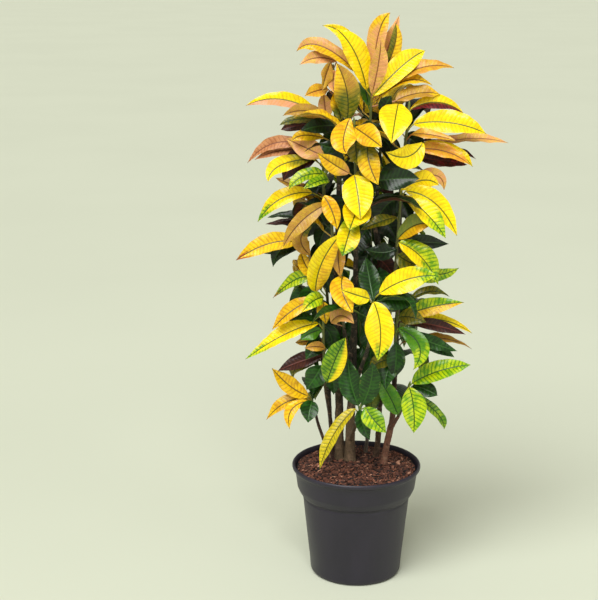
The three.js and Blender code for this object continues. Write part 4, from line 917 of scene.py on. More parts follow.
def finish_numbers(name):
    """A finish as twelve numbers: three colours, how patched, how veined and how dull."""
    return np.concatenate([np.atleast_1d(part) for part in FINISHES[name]])


def blade_values(leaf, blade, side, mark, dice):
    """The finish at each point of a blade: its own, blended by smooth steps into its mark's others at
    the sides, the tip and the base, with a drawn shade, and another finish on its lower face."""
    t, s = blade["t"], blade["s"]
    own = finish_numbers(mark.get("all", leaf["colour"])) + 0 * t[..., None]
    here = side[:, None] * s[..., None]
    for key, (axis, sign, start) in MARK_SIDES.items():
        if key in mark:
            share = step(sign * here[..., axis] - start, *SIDE_BLEND)[..., None]
            own = own + (finish_numbers(mark[key]) - own) * share
    if "tip" in mark:
        name, start = mark["tip"]
        share = step(t + TIP_WAVE * np.sin(6 * s), start - TIP_BLEND, start + TIP_BLEND)[..., None]
        own = own + (finish_numbers(name) - own) * share
    if "base" in mark:
        name, end = mark["base"]
        share = 1 - step(t + BASE_WAVE * np.sin(5 * s), end - BASE_BLEND, end + BASE_BLEND)[..., None]
        own = own + (finish_numbers(name) - own) * share
    under = finish_numbers(mark.get("under", UNDERSIDE[leaf["colour"]])) + 0 * t[..., None]
    values = np.where(blade["under"][..., None], under, own)
    shade = 1 + SHADE_SPREAD * (dice[0] - 0.5)
    warm = 1 + WARM_SPREAD * (dice[1] - 0.5)
    values[..., :9] *= shade
    values[..., 0:9:3] *= warm
    place = np.stack([s * blade["half"], blade["along"], blade["half"]], -1)
    return {"tint": values[..., 0:3], "patch": values[..., 3:6], "rib": values[..., 6:9],
            "patched": values[..., 9], "veined": values[..., 10], "dull": values[..., 11],
            "place": place, "seed": dice[2], "rim": (np.abs(s) > EDGE).astype(float)}


# What a stem or a stalk has in place of a blade's patches and veins.
PLAIN = {"place": (0, 0, 1), "patched": 0, "veined": 0, "rim": 0}
STALK_COLOUR = {
    "yellow": paint(176, 168, 48), "gold": paint(182, 150, 50), "orange": paint(190, 120, 60),
    "peach": paint(200, 140, 100), "tan": paint(150, 110, 60), "lime": paint(130, 156, 44),
    "green": paint(84, 120, 40), "deep": paint(60, 92, 34), "dark": paint(52, 66, 34),
    "maroon": paint(84, 44, 38), "olive": paint(110, 108, 40),
}
STALK_STOPS = np.array([0, 0.12, 0.4, 0.7, 0.93])       # along the way from the shoot to the blade
TAPER_STOPS = np.array([0.04, 0.1, 0.16])               # and on under the blade, at these t
TAPER_DEPTHS = np.array([0.9, 0.8, 0.3])
STALK_RADII = (2.3, 1.75, 1.5, 1.5, 1.7, 1.45, 1.0, 0.3)
STALK_SIDES = 7


def stalk_rings(leaf):
    """A leaf's stalk: a tube from the shoot to the blade, which tapers out under the midrib."""
    centre, face, _ = midrib(leaf, TAPER_STOPS)
    under = centre - face * TAPER_DEPTHS[:, None]
    straight = leaf["root"] + (leaf["base"] - leaf["root"]) * STALK_STOPS[:, None]
    return tube(np.vstack([straight, under]), STALK_RADII, STALK_SIDES)


def shoot_line(name):
    """The axis of a shoot, from where its branch ends, as a smooth curve."""
    points = seen_points(SHOOTS[name])
    return smooth(points, carrier_point(name), 2 * points[-1] - points[-2], STEM_STEPS)


def carrier_point(name):
    """The last point but one of the branch that carries a shoot."""
    for _, branches in TRUNKS.values():
        for branch in branches:
            if branch[-1][:3] == SHOOTS[name][0]:
                return seen(*branch[-2][:3])
    raise ValueError(f"nothing carries {name}")


def shoot_on(branch):
    """The name of the shoot that starts where a branch ends."""
    return next(name for name, points in SHOOTS.items() if points[0] == branch[-1][:3])


DEEP_BELOW = 800.0            # dark leaves that start lower than this are a fresher green
STEM_FOOT, STEM_TIP = paint(72, 64, 38), paint(104, 116, 48)
STEM_SIDES, STEM_STEPS = 10, 12
STEM_DULL, STALK_DULL = 0.5, 0.45
STEM_SEED = 500
STEM_JOINTS = 9               # swellings along a stem
JOINT_SWELL, JOINT_REACH = 0.12, 0.16
BUD = ((5, 2.0), (9, 0.5))    # how far past the stem's end, and its radius there


def shoot(name, seed, materials):
    """A shoot's stem with a bud on its tip, and its leaves on their stalks."""
    rng = np.random.default_rng(STEM_SEED + seed)
    skins = Skins()
    line = shoot_line(name)
    share = distances(line) / distances(line)[-1]
    joints = 1 + JOINT_SWELL * np.exp(-((share * STEM_JOINTS % 1 - 0.5) / JOINT_REACH) ** 2)
    radii = (SHOOT_RADIUS[0] + (SHOOT_RADIUS[1] - SHOOT_RADIUS[0]) * share) * joints
    ahead = unit(line[-1] - line[-2])
    line = np.vstack([line] + [line[-1] + ahead * reach for reach, _ in BUD])
    radii = np.concatenate([radii, [radius for _, radius in BUD]])
    share = np.concatenate([share, np.ones(len(BUD))])
    rings = tube(line, radii, STEM_SIDES)
    tint = (STEM_FOOT + (STEM_TIP - STEM_FOOT) * share[:, None])[:, None] + np.zeros((1, STEM_SIDES, 1))
    skins.add(rings, 1, {**PLAIN, "tint": tint, "patch": tint, "rib": tint, "dull": STEM_DULL,
                         "seed": rng.random()})
    for leaf in grown_leaves(name, seed):
        if leaf["colour"] == "dark" and leaf["base"][2] < DEEP_BELOW:
            leaf["colour"] = "deep"
        dice = rng.random(3)
        mark = MARKS.get((name, leaf["row"]), {})
        blade, side = blade_rings(leaf, rng)
        skins.add(blade["points"], 0, blade_values(leaf, blade, side, mark, dice))
        tint = STALK_COLOUR[leaf["colour"]]
        skins.add(stalk_rings(leaf), 1, {**PLAIN, "tint": tint, "patch": tint, "rib": tint,
                                         "dull": STALK_DULL, "seed": dice[2]})
    return skins.piece(f"{name}_leaves", materials, "rim")


# ---- trunks ---------------------------------------------------------------------------------------

WOOD_SIDES = 18
WOOD_SEED = 900
WOOD_STEPS = 16               # points between two read ones
WAVES = ((2, 41), (3, 23), (5, 17))      # how often each wave goes round, and how long it is
SCAR_SPACING, SCAR_REACH = 38, 2.6
SCAR_SWELL = (0.07, 2.8)      # how much a scar adds to the radius: so much, and so much for lumpy wood
SCAR_FOCUS = 2.2              # how much it keeps to one side
FOOT_DEPTH = 24               # how far into the bark a trunk goes on
FLARE, FLARE_REACH = 0.22, 10            # how much the foot widens, and how far up that fades
# Trunk colours go from a lighter brown at the foot to a dark olive brown in the crown: partly the bark's
# own change, partly painted light on the lit feet and painted shade inside the crown.
GREENING_AND_SHADE = (330, 560)         # heights between which the foot's colour turns into the crown's
WOOD = {                      # colour at the foot and in the crown, and how lumpy it is
    "trunk_1": (paint(70, 44, 32), paint(48, 38, 26), 0.022),
    "trunk_2": (paint(74, 52, 40), paint(44, 38, 24), 0.022),
    "trunk_3": (paint(98, 80, 56), paint(42, 37, 24), 0.055),
    "trunk_4": (paint(108, 88, 64), paint(44, 38, 25), 0.055),
    "trunk_5": (paint(114, 106, 94), paint(46, 42, 30), 0.022),
    "trunk_6": (paint(84, 62, 45), paint(42, 36, 24), 0.035),
    "trunk_7": (paint(128, 84, 64), paint(50, 38, 27), 0.040),
}


def trunk(name, seed, material):
    """A trunk's branches as tubes: round a smooth curve, the radius swells at old leaf scars, at the
    foot, and by slow waves round and along it."""
    (x, y, foot_radius), branches = TRUNKS[name]
    rng = np.random.default_rng(WOOD_SEED + seed)
    skins = Skins()
    low, high, lumpy = WOOD[name]
    for number, branch in enumerate(branches):
        points = seen_points(branch)
        radii = [row[3] for row in branch]
        after = seen_points(SHOOTS[shoot_on(branch)])[1]
        if number == 0:
            points = np.vstack([[x, y, FOOT_LEVEL - FOOT_DEPTH], [x, y, FOOT_LEVEL], points])
            radii = [foot_radius, foot_radius] + radii
        before = 2 * points[0] - points[1]
        line = smooth(points, before, after, WOOD_STEPS)
        along = distances(line)
        radius = np.interp(np.arange(len(line)) / WOOD_STEPS, np.arange(len(points)), radii)[:, None]
        w = 2 * np.pi * (np.arange(WOOD_SIDES) + 0.5)[None, :] / WOOD_SIDES
        ridge = sum(np.sin(k * w + along[:, None] / length + rng.uniform(0, 6))
                    for k, length in WAVES) * lumpy
        scars = 0.0
        for place in rng.uniform(0, along[-1], max(2, int(along[-1] / SCAR_SPACING))):
            turn = rng.uniform(0, 2 * np.pi)
            lobe = np.exp(SCAR_FOCUS * (np.cos(w - turn) - 1))
            band = np.exp(-((along[:, None] - place) / SCAR_REACH) ** 2)
            scars = scars + (SCAR_SWELL[0] + SCAR_SWELL[1] * lumpy) * lobe * band
        above = np.maximum(line[:, 2:3] - FOOT_LEVEL, 0)
        flare = FLARE * np.exp(-above / FLARE_REACH) if number == 0 else 0
        rings = tube(line, radius * (1 + ridge + scars + flare), WOOD_SIDES)
        # Foot colour up to crown colour: partly the bark's own change, partly painted light at the foot
        # and painted shade in the crown.
        height = step(line[:, 2], *GREENING_AND_SHADE)[:, None, None]
        tint = low + (high - low) * height + np.zeros((1, WOOD_SIDES, 1))
        place = np.stack([radius * w, along[:, None] + 0 * w, radius + 0 * w], -1)
        skins.add(rings, 0, {"tint": tint, "place": place, "seed": rng.random()})
    return skins.piece(f"{name}_wood", [material])


# ---- pot and bark ---------------------------------------------------------------------------------

POT_SIDES = 224
CORNER = 3.0                  # how far from a corner of the profile its rounding starts
FOOT_BAND = (14, 12)          # the foot's points: this far in from its edge, and this high up
FINE, COARSE = 1.2, 12        # longest step of the profile in that band, and elsewhere
PINHOLE = 0.5                 # radius at which a turned surface closes on its axis
NOTCH_SLOPE = 1.5             # half the width over which a notch's roof comes down at its sides


def rounded(profile, reach):
    """A profile with each corner drawn as a parabola that starts and ends at most reach from it."""
    profile = np.array(profile, float)
    corner, before, after = profile[1:-1], profile[:-2], profile[2:]

    def off(other):
        """The point at reach from each corner towards another, but never past the half way."""
        gap = np.linalg.norm(other - corner, axis=1, keepdims=True)
        return corner + (other - corner) * np.minimum(reach / gap, 0.48)

    t = np.linspace(0, 1, 5)[None, :, None]
    a, b, c = off(before)[:, None], corner[:, None], off(after)[:, None]
    arcs = a * (1 - t) ** 2 + 2 * b * t * (1 - t) + c * t * t
    return np.vstack([profile[:1], arcs.reshape(-1, 2), profile[-1:]])


def refined(profile, longest):
    """The same profile with points added so that no step is longer than longest."""
    along = distances(profile)
    parts = []
    for i in range(len(profile) - 1):
        count = max(1, math.ceil((along[i + 1] - along[i]) / longest))
        parts.append(profile[i] + (profile[i + 1] - profile[i]) * (np.arange(count) / count)[:, None])
    return np.vstack(parts + [profile[-1:]])


def lathe(profile, sides):
    """Rings of a profile of (radius, height) turned about Z, from the profile's first point on."""
    w = 2 * np.pi * np.arange(sides) / sides
    radius, height = profile[:, 0][:, None], profile[:, 1][:, None]
    return np.stack([radius * np.cos(w), radius * np.sin(w), height + 0 * w], -1), w


# The pot's profile as (radius, height): the foot and its wall, the groove, the collar and the lip, then
# the inside, back down to the floor.
OUTSIDE = [
    (0, 0), (FOOT_RADIUS - 10, 0), (FOOT_RADIUS - 3, 2.4), (FOOT_RADIUS, 9), (FOOT_RADIUS + 1.5, 30),
    (NECK_RADIUS, 199), (NECK_RADIUS - 1.0, 202), (NECK_RADIUS - 1.0, 204), (NECK_RADIUS + 1.5, 208),
    (141, 213), (COLLAR_FOOT_RADIUS, 228), (COLLAR_RADIUS, 265), (COLLAR_RADIUS + 2.5, 273.5),
    (RIM_RADIUS - 1.5, 276.5), (RIM_RADIUS, 281), (RIM_RADIUS - 1, 285.5),
    (RIM_RADIUS - 3.8, POT_HEIGHT),
]
INSIDE = [
    (MOUTH_RADIUS, 285), (COLLAR_RADIUS - WALL, 266), (COLLAR_FOOT_RADIUS - WALL, 228),
    (NECK_RADIUS - WALL, 203), (FOOT_RADIUS - WALL, 11), (106, FLOOR),
]


def pot(material):
    """The pot: its profile turned about Z, with finer rings at the foot. Over each notch the foot's
    points rise to the notch's height, by a smooth step over NOTCH_SLOPE at either side."""
    profile = rounded(OUTSIDE + INSIDE + [(0, FLOOR)], CORNER)
    foot_start = int(np.argmax(profile[:, 0] > FOOT_RADIUS - FOOT_BAND[0]))
    foot_end = int(np.argmax(profile[:, 1] > FOOT_BAND[1]))
    profile = np.vstack([refined(profile[:foot_start + 1], COARSE)[:-1],
                         refined(profile[foot_start:foot_end + 1], FINE)[:-1],
                         refined(profile[foot_end:], COARSE)])
    profile[0, 0] = profile[-1, 0] = PINHOLE
    rings, w = lathe(profile, POT_SIDES)
    turn = (w / (2 * np.pi) * NOTCH_COUNT - NOTCH_START + 0.5) % 1 - 0.5
    arc = np.abs(turn) * 2 * np.pi * FOOT_RADIUS / NOTCH_COUNT
    open_here = 1 - step(arc, NOTCH_WIDTH / 2 - NOTCH_SLOPE, NOTCH_WIDTH / 2 + NOTCH_SLOPE)
    near_foot = (profile[:, 0] > FOOT_RADIUS - FOOT_BAND[0]) & (profile[:, 1] < NOTCH_HEIGHT)
    lowest = np.where(near_foot[:, None], NOTCH_HEIGHT * open_here[None, :], 0)
    rings[..., 2] = np.maximum(rings[..., 2], lowest)
    skins = Skins()
    skins.add(rings, 0, {"seed": 0.3})
    return skins.piece("pot_shell", [material])


def bark_height(radius):
    """How high the bark lies: it falls from the crown with the square of the radius."""
    return BARK_CROWN - BARK_FALL * (radius / BED_REACH) ** 2


def hummocks(x, y):
    """Low mounds: a sum of sines over x and y, about 2 mm high."""
    return (0.9 * np.sin(x / 17 + 1.3) * np.cos(y / 21) + 0.7 * np.sin(x / 7.3 - y / 9.1)
            + 0.5 * np.cos(x / 4.1 + y / 5.3 + 0.7))


BED_RINGS, BED_SIDES = 60, 160
UNDER_CHIPS = 0.8             # how much lower the bed lies than its chips


def bark_bed(material):
    """The bed of bark: a disc whose top follows the crown and the hummocks, with a wall below it."""
    edge = COLLAR_RADIUS - WALL - GAP
    radii = np.linspace(edge, PINHOLE, BED_RINGS)
    top = np.stack([radii, bark_height(radii)], 1)
    wall = np.array([[PINHOLE, BED_FOOT], [edge - 8, BED_FOOT], [edge - 4, BED_FOOT + 15]])
    profile = np.vstack([wall, top])
    rings, _ = lathe(profile, BED_SIDES)
    x, y = rings[..., 0], rings[..., 1]
    is_top = (np.arange(len(profile)) >= len(wall))[:, None]
    rings[..., 2] += np.where(is_top, hummocks(x, y) - UNDER_CHIPS, 0)
    skins = Skins()
    skins.add(rings, 0, {"tint": paint(24, 15, 12), "seed": 0.5})
    return skins.piece("bark_bed", [material])


CHIP_COUNT = 6400             # tried; those too near a trunk or the wall are left out
CHIP_SEED = 77
CHIP_LENGTH = 3.4             # half of a middling chip's length
CHIP_SPREAD = 0.38            # of the logarithm of that
CHIP_LIMITS = (1.7, 7.5)
CHIP_REACH = 148.0            # how far out the middles of chips may lie
CHIP_WIDTH, CHIP_THICKNESS = (0.4, 0.75), (0.16, 0.36)   # least and most, as shares of its length
CHIP_DENT = 0.22              # how much each corner of a chip may move in or out
CHIP_TILTS = (0.34, 0.3)      # spread of a chip's tilt about its length and its width
CHIP_SINK = (0.2, 1.2)        # how high its middle lies, in thicknesses
CHIP_COLOURS = np.array([paint(112, 66, 48), paint(84, 48, 35), paint(52, 30, 23), paint(138, 88, 66),
                         paint(184, 134, 108), paint(26, 16, 13)])
CHIP_SHARES = (0.27, 0.25, 0.17, 0.14, 0.04, 0.13)


def turned_by(angles, axis):
    """A turn by each of angles about axis 0, 1 or 2, as matrices."""
    c, s = np.cos(angles), np.sin(angles)
    i, j = [(1, 2), (2, 0), (0, 1)][axis]
    out = np.zeros((len(angles), 3, 3))
    out[:, axis, axis] = 1
    out[:, i, i] = out[:, j, j] = c
    out[:, i, j], out[:, j, i] = -s, s
    return out


# The twelve corners and twenty faces of an even lump.
G = (1 + 5 ** 0.5) / 2
LUMP = unit(np.array([(-1, G, 0), (1, G, 0), (-1, -G, 0), (1, -G, 0), (0, -1, G), (0, 1, G),
                      (0, -1, -G), (0, 1, -G), (G, 0, -1), (G, 0, 1), (-G, 0, -1), (-G, 0, 1)]))
LUMP_FACES = np.array([(0, 11, 5), (0, 5, 1), (0, 1, 7), (0, 7, 10), (0, 10, 11), (1, 5, 9), (5, 11, 4),
                       (11, 10, 2), (10, 7, 6), (7, 1, 8), (3, 9, 4), (3, 4, 2), (3, 2, 6), (3, 6, 8),
                       (3, 8, 9), (4, 9, 5), (2, 4, 11), (6, 2, 10), (8, 6, 7), (9, 8, 1)])


def chip_places(rng):
    """Where chips lie, how far out that is, and half their lengths: spread evenly over the bed, and kept
    off the trunks and the wall."""
    reach = CHIP_REACH * np.sqrt(rng.random(CHIP_COUNT))
    angle = rng.uniform(0, 2 * np.pi, CHIP_COUNT)
    x, y = reach * np.cos(angle), reach * np.sin(angle)
    feet = np.array([foot for foot, _ in TRUNKS.values()], float)
    gap = np.hypot(x[:, None] - feet[:, 0], y[:, None] - feet[:, 1]) - feet[:, 2] * 1.2
    length = np.clip(rng.lognormal(math.log(CHIP_LENGTH), CHIP_SPREAD, CHIP_COUNT), *CHIP_LIMITS)
    keep = (gap.min(1) > 0.6 * length) & (reach + length * 0.8 < BED_REACH)
    return x[keep], y[keep], reach[keep], length[keep]


def bark_chips(material):
    """Chips of bark strewn over the bed: each the even lump, stretched, dented and tilted by seeded
    draws, and set down on the hummocks."""
    rng = np.random.default_rng(CHIP_SEED)
    x, y, reach, length = chip_places(rng)
    count, corners = len(x), len(LUMP)
    size = np.stack([length, length * rng.uniform(*CHIP_WIDTH, count),
                     length * rng.uniform(*CHIP_THICKNESS, count)], 1)
    lumps = LUMP[None] * (1 + rng.uniform(-CHIP_DENT, CHIP_DENT, (count, corners, 1))) * size[:, None]
    turn = turned_by(rng.uniform(0, 6.28, count), 2) @ turned_by(rng.normal(0, CHIP_TILTS[0], count), 0)
    turn = turn @ turned_by(rng.normal(0, CHIP_TILTS[1], count), 1)
    lumps = np.einsum("nij,nkj->nki", turn, lumps)
    height = bark_height(reach) + hummocks(x, y) + size[:, 2] * rng.uniform(*CHIP_SINK, count)
    points = lumps + np.stack([x, y, height], 1)[:, None]
    mesh = bpy.data.meshes.new("bark_chips")
    every = (LUMP_FACES[None] + corners * np.arange(count)[:, None, None]).reshape(-1, 3)
    mesh.from_pydata((points.reshape(-1, 3) * MM).tolist(), [], every.tolist())
    tint = CHIP_COLOURS[rng.choice(len(CHIP_COLOURS), count, p=CHIP_SHARES)]
    tint = tint * rng.uniform(0.75, 1.25, (count, 1))
    values = {"tint": np.repeat(tint, corners, axis=0), "seed": np.repeat(rng.random(count), corners)}
    piece = finished("bark_chips", mesh, np.zeros(len(every), np.int32), values, [material])
    piece.data.polygons.foreach_set("use_smooth", np.zeros(len(every), bool))
    return piece


# ---- materials ------------------------------------------------------------------------------------


class Nodes:
    """The node tree of one material, with short names for the nodes that it is made of."""

    def __init__(self, name):
        self.material = bpy.data.materials.new(name)
        self.material.use_nodes = True
        self.tree = self.material.node_tree
        self.shader = self.tree.nodes["Principled BSDF"]

    def put(self, socket, value):
        """Links a socket to another node, or sets its value."""
        if isinstance(value, bpy.types.NodeSocket):
            self.tree.links.new(value, socket)
        elif value is not None:
            socket.default_value = value

    def node(self, kind, inputs=(), **settings):
        """A node of a kind, with its inputs linked or set."""
        node = self.tree.nodes.new(kind)
        for key, value in settings.items():
            setattr(node, key, value)
        for key, value in dict(inputs).items():
            self.put(node.inputs[key], value)
        return node

    def value(self, name):
        """A number that the mesh holds for each point."""
        return self.node("ShaderNodeAttribute", attribute_name=name).outputs["Fac"]

    def vector(self, name):
        """A vector or a colour that the mesh holds for each point."""
        return self.node("ShaderNodeAttribute", attribute_name=name).outputs["Vector"]

    def parts(self, vector):
        """The three numbers of a vector."""
        return self.node("ShaderNodeSeparateXYZ", {0: vector}).outputs

    def join(self, x, y, z):
        """The vector of three numbers."""
        return self.node("ShaderNodeCombineXYZ", {0: x, 1: y, 2: z}).outputs[0]

    def math(self, operation, a, b=None, c=None):
        """One step of arithmetic."""
        node = self.node("ShaderNodeMath", {0: a}, operation=operation)
        for number, value in ((1, b), (2, c)):
            self.put(node.inputs[number], value)
        return node.outputs[0]

    def step(self, value, start, end, low=0.0, high=1.0):
        """low before start and high past end, smooth between them."""
        inputs = {"Value": value, "From Min": start, "From Max": end, "To Min": low, "To Max": high}
        return self.node("ShaderNodeMapRange", inputs, interpolation_type="SMOOTHSTEP").outputs[0]

    def mix(self, share, a, b, blend="MIX"):
        """Two colours mixed by share."""
        node = self.node("ShaderNodeMix", data_type="RGBA", blend_type=blend)
        for socket, value in zip((node.inputs[0], node.inputs[6], node.inputs[7]), (share, a, b)):
            if isinstance(value, (tuple, np.ndarray)):
                value = tuple(value) + (1,)
            self.put(socket, value)
        return node.outputs[2]

    def scaled(self, vector, scale):
        """A vector, each part multiplied by its own scale."""
        return self.node("ShaderNodeVectorMath", {0: vector, 1: scale}, operation="MULTIPLY").outputs[0]

    def noise(self, vector, scale, detail=2.0, roughness=0.5):
        """Soft noise round 0.5."""
        inputs = {"Vector": vector, "Scale": scale, "Detail": detail, "Roughness": roughness}
        return self.node("ShaderNodeTexNoise", inputs).outputs[0]

    def place(self):
        """The place in the piece's own space, in metres."""
        return self.node("ShaderNodeTexCoord").outputs["Object"]

    def bump(self, height, distance, strength=1.0):
        """The normal of a surface raised by height times distance."""
        inputs = {"Height": height, "Distance": distance, "Strength": strength}
        return self.node("ShaderNodeBump", inputs).outputs[0]

    def finish(self, **sockets):
        """Puts sockets of the shader, whose names have _ for a space, and ends the material."""
        for name, value in sockets.items():
            self.put(self.shader.inputs[name.replace("_", " ")], value)
        return self.material


VEIN_SPACING = 9.5            # between side veins, along the midrib
VEIN_SLANT = 0.38             # how much they run on towards the tip


def leaf_material():
    """A glossy blade: a dark midrib, slanting side veins, a net of fine ones, and patches between.

    place holds how far across and along the blade a point lies, and how wide its half is there. A
    side vein is where (along + drift - slant * across - across^2 / 240) / spacing is nearly whole,
    half a spacing on at the other side of the midrib.
    """
    n = Nodes("croton_leaf")
    across, along, half = n.parts(n.vector("place"))[:3]
    seed = n.math("MULTIPLY", n.value("seed"), 900.0)
    spot = n.join(across, along, seed)
    away = n.math("ABSOLUTE", across)
    drift = n.math("MULTIPLY", n.noise(spot, 0.05, 1.0), 6.0)
    curve = n.math("MULTIPLY", n.math("POWER", away, 2.0), 1 / 240)
    lean = n.math("MULTIPLY_ADD", away, VEIN_SLANT, curve)
    run = n.math("SUBTRACT", n.math("ADD", along, drift), lean)
    shift = n.math("MULTIPLY", n.math("GREATER_THAN", across, 0.0), 0.5)
    phase = n.math("ADD", n.math("DIVIDE", run, VEIN_SPACING), shift)
    beside = n.math("ABSOLUTE", n.math("SUBTRACT", n.math("FRACT", phase), 0.5))
    from_vein = n.math("MULTIPLY", n.math("SUBTRACT", 0.5, beside), VEIN_SPACING)
    edge = n.math("DIVIDE", away, half)
    fading = n.step(edge, 0.6, 1.0, 1.0, 0.3)
    side_vein = n.math("MULTIPLY", n.step(from_vein, 0.2, 0.85, 1.0, 0.0), fading)
    rib_width = n.step(half, 1.0, 16.0, 0.45, 1.35)
    mid_vein = n.step(n.math("DIVIDE", away, rib_width), 0.7, 1.5, 1.0, 0.0)
    cells = n.node("ShaderNodeTexVoronoi", {"Vector": spot, "Scale": 0.26}, feature="DISTANCE_TO_EDGE")
    net = n.step(cells.outputs["Distance"], 0.02, 0.12, 1.0, 0.0)
    lines = n.math("MAXIMUM", side_vein, n.math("MULTIPLY", net, 0.4))
    lines = n.math("MULTIPLY", lines, n.value("veined"))
    lines = n.math("MAXIMUM", n.math("MULTIPLY", mid_vein, 0.95), lines)

    cloud = n.noise(spot, 0.055, 3.0, 0.55)
    near_vein = n.step(from_vein, 0.3, 3.0, 0.16, 0.0)
    patched = n.value("patched")
    level = n.math("ADD", n.math("ADD", cloud, near_vein), n.math("MULTIPLY", patched, 0.25))
    patches = n.step(level, 0.52, 0.86)
    blush = n.step(edge, 0.6, 1.05, 0.0, 0.6)
    patches = n.math("MAXIMUM", patches, n.math("MULTIPLY", blush, patched))
    colour = n.mix(patches, n.vector("tint"), n.vector("patch"))
    mottle = n.step(n.noise(spot, 0.6, 2.0), 0.3, 0.75, 0.92, 1.08)
    colour = n.mix(1.0, colour, n.join(mottle, mottle, mottle), "MULTIPLY")
    colour = n.mix(lines, colour, n.vector("rib"))

    fine = n.noise(spot, 0.9, 3.0)
    puffed = n.step(from_vein, 0.0, VEIN_SPACING / 2, 0.0, 1.0)
    height = n.math("ADD", n.math("MULTIPLY", puffed, 0.8), n.math("MULTIPLY", fine, 0.2))
    height = n.math("SUBTRACT", height, n.math("MULTIPLY", mid_vein, 0.8))
    dull = n.math("ADD", n.value("dull"), n.math("MULTIPLY", n.math("SUBTRACT", fine, 0.5), 0.16))
    return n.finish(Base_Color=colour, Roughness=dull, Normal=n.bump(height, 0.0008, 0.45),
                    Coat_Weight=0.15, Coat_Roughness=0.2, Specular_IOR_Level=0.32)


def stem_material():
    """Young green bark: faint streaks along it, and a satin surface."""
    n = Nodes("young_stem")
    spot = n.place()
    streaks = n.noise(n.scaled(spot, (700, 700, 90)), 1.0, 3.0)
    shade = n.step(streaks, 0.3, 0.75, 0.72, 1.2)
    colour = n.mix(1.0, n.vector("tint"), n.join(shade, shade, shade), "MULTIPLY")
    rough = n.step(streaks, 0.2, 0.8, 0.38, 0.6)
    return n.finish(Base_Color=colour, Roughness=rough, Normal=n.bump(streaks, 0.0006, 0.6))


def wood_material():
    """Thin grey-brown bark: fibres along the trunk, pale lenticels and rings at old leaf scars."""
    n = Nodes("croton_bark")
    around, along = n.parts(n.vector("place"))[:2]
    seed = n.math("MULTIPLY", n.value("seed"), 400.0)
    fibre = n.join(n.math("MULTIPLY", around, 0.9), n.math("MULTIPLY", along, 0.07), seed)
    fibres = n.noise(fibre, 1.0, 4.0, 0.65)
    blotch = n.noise(n.join(around, along, seed), 0.06, 3.0, 0.6)
    squeezed = n.join(around, n.math("MULTIPLY", along, 0.6), seed)
    grains = n.node("ShaderNodeTexVoronoi", {"Vector": squeezed, "Scale": 0.28})
    pores = n.step(grains.outputs["Distance"], 0.10, 0.22, 1.0, 0.0)
    banded = n.join(seed, n.math("MULTIPLY", along, 0.12), n.math("MULTIPLY", around, 0.02))
    rings = n.noise(banded, 1.0, 2.0)
    scar = n.step(n.math("ABSOLUTE", n.math("SUBTRACT", rings, 0.5)), 0.0, 0.02, 1.0, 0.0)
    shade = n.step(fibres, 0.25, 0.8, 0.45, 1.5)
    colour = n.mix(1.0, n.vector("tint"), n.join(shade, shade, shade), "MULTIPLY")
    colour = n.mix(n.step(blotch, 0.52, 0.7, 0.0, 0.6), colour, paint(152, 122, 96))
    colour = n.mix(n.math("MULTIPLY", pores, 0.5), colour, paint(168, 146, 120))
    colour = n.mix(n.math("MULTIPLY", scar, 0.45), colour, paint(48, 34, 28))
    height = n.math("ADD", fibres, n.math("MULTIPLY", pores, 0.5))
    height = n.math("SUBTRACT", height, n.math("MULTIPLY", scar, 0.7))
    rough = n.step(fibres, 0.2, 0.8, 0.62, 0.85)
    return n.finish(Base_Color=colour, Roughness=rough, Normal=n.bump(height, 0.0016, 1.0))


def pot_material():
    """Moulded anthracite plastic: satin, with a fine grain, faint flow lines and a little dust."""
    n = Nodes("moulded_plastic")
    spot = n.place()
    grain = n.noise(spot, 900.0, 2.0)
    cloud = n.noise(n.scaled(spot, (14, 14, 5)), 1.0, 4.0, 0.6)
    dust = n.step(n.noise(spot, 60.0, 5.0, 0.7), 0.58, 0.82, 0.0, 0.35)
    colour = n.mix(n.step(cloud, 0.3, 0.75), paint(29, 25, 38), paint(37, 32, 46))
    colour = n.mix(dust, colour, paint(58, 49, 60))
    rough = n.math("ADD", n.step(cloud, 0.3, 0.75, 0.38, 0.50), n.math("MULTIPLY", grain, 0.06))
    return n.finish(Base_Color=colour, Roughness=rough, Normal=n.bump(grain, 0.00025, 0.35),
                    Specular_IOR_Level=0.5)


def chip_material():
    """Composted bark: each chip in its own brown, with fibres."""
    n = Nodes("bark_mulch")
    spot = n.place()
    seed = n.math("MULTIPLY", n.value("seed"), 9.0)
    x, y, z = n.parts(spot)[:3]
    own = n.join(n.math("ADD", x, seed), y, z)
    fibres = n.noise(n.scaled(own, (900, 300, 900)), 1.0, 4.0, 0.6)
    shade = n.step(fibres, 0.25, 0.8, 0.5, 1.5)
    colour = n.mix(1.0, n.vector("tint"), n.join(shade, shade, shade), "MULTIPLY")
    rough = n.step(fibres, 0.2, 0.8, 0.6, 0.9)
    return n.finish(Base_Color=colour, Roughness=rough, Normal=n.bump(fibres, 0.001, 0.9))


def floor_material():
    """A matt pale sage, very faintly clouded."""
    n = Nodes("pale_floor")
    tone = n.noise(n.place(), 0.8, 2.0)
    colour = n.mix(n.step(tone, 0.3, 0.7), paint(214, 219, 199), paint(212, 217, 197))
    return n.finish(Base_Color=colour, Roughness=0.95, Specular_IOR_Level=0.1)


# ---- the room -------------------------------------------------------------------------------------


def stage():
    """A plain pale floor, a hair below the pot's foot."""
    mesh = bpy.data.meshes.new("floor")
    reach, level = 60.0, -0.0004
    corners = [(-reach, -reach), (reach, -reach), (reach, reach), (-reach, reach)]
    mesh.from_pydata([(x, y, level) for x, y in corners], [], [(0, 1, 2, 3)])
    mesh.materials.append(floor_material())
    floor = bpy.data.objects.new("floor", mesh)
    bpy.context.scene.collection.objects.link(floor)


def aim(thing, target):
    """Turns a lamp so that its -Z looks at target: tilt from the vertical, then heading."""
    x, y, z = np.array(target) - np.array(thing.location)
    thing.rotation_euler = (math.atan2(math.hypot(x, y), -z), 0, math.atan2(-x, y))


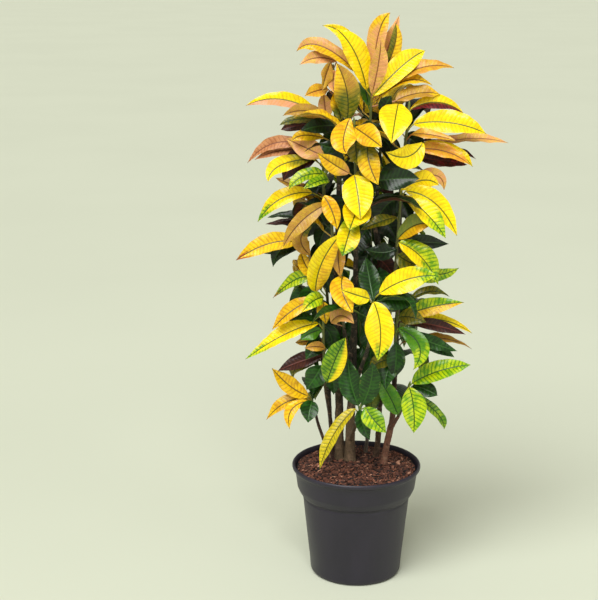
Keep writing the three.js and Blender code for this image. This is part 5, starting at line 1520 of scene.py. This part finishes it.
def lamp(kind, name, place, target, size, power):
    """An area lamp of a size in metres, or a sun whose disc is that wide in radians."""
    light = bpy.data.lights.new(name, kind)
    if kind == "SUN":
        light.angle = size
    else:
        light.shape = "DISK"
        light.size = size
    light.energy = power
    thing = bpy.data.objects.new(name, light)
    thing.location = place
    bpy.context.scene.collection.objects.link(thing)
    aim(thing, target)


LAMPS = (                     # kind, name, place, what it looks at, size, power
    ("SUN", "key_light", (-1.3, -2.5, 4.2), (0, 0, 0.8), 0.7, 2.6),
    ("SUN", "fill_light", (3.0, -2.6, 1.6), (0, 0, 0.8), 0.6, 0.4),
    ("AREA", "gloss_light", (0.4, -2.6, 3.4), (0, 0, 1.1), 0.8, 30),
)
SURROUND, SURROUND_STRENGTH = (1.0, 0.97, 0.85, 1), 0.38


def studio():
    """Wide soft light from above and the front left, a weak one from the right, a lamp above the front
    for a little gloss, and an even pale surround."""
    for settings in LAMPS:
        lamp(*settings)
    world = bpy.data.worlds.new("surround")
    world.use_nodes = True
    background = world.node_tree.nodes["Background"]
    background.inputs["Color"].default_value = SURROUND
    background.inputs["Strength"].default_value = SURROUND_STRENGTH
    scene = bpy.context.scene
    scene.world = world
    scene.view_settings.view_transform = "Standard"


CAMERA_DOWN, CAMERA_LEFT = 14.55, 2.45   # degrees
LENS, SENSOR = 85.44, 36                 # millimetres


def camera():
    """The photograph's own angle, from EYE."""
    data = bpy.data.cameras.new("camera")
    data.lens = LENS
    data.sensor_width = SENSOR
    thing = bpy.data.objects.new("camera", data)
    thing.location = EYE * MM
    thing.rotation_euler = (math.radians(90 - CAMERA_DOWN), 0, math.radians(CAMERA_LEFT))
    bpy.context.scene.collection.objects.link(thing)
    bpy.context.scene.camera = thing


# ---- the whole plant ------------------------------------------------------------------------------


def place_piece(piece, node):
    """Puts a piece on the root body, and hides the solid that it stands for."""
    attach(piece, "root")
    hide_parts(node)


camera()
studio()
stage()

place_piece(pot(pot_material()), "pot")
mulch = chip_material()
place_piece(bark_bed(mulch), "bark")
place_piece(bark_chips(mulch), "bark")
wood = wood_material()
for seed, name in enumerate(TRUNKS):
    place_piece(trunk(name, seed, wood), name)
leaf_materials = [leaf_material(), stem_material()]
for seed, name in enumerate(RULE_COUNT):
    place_piece(shoot(name, seed, leaf_materials), name)
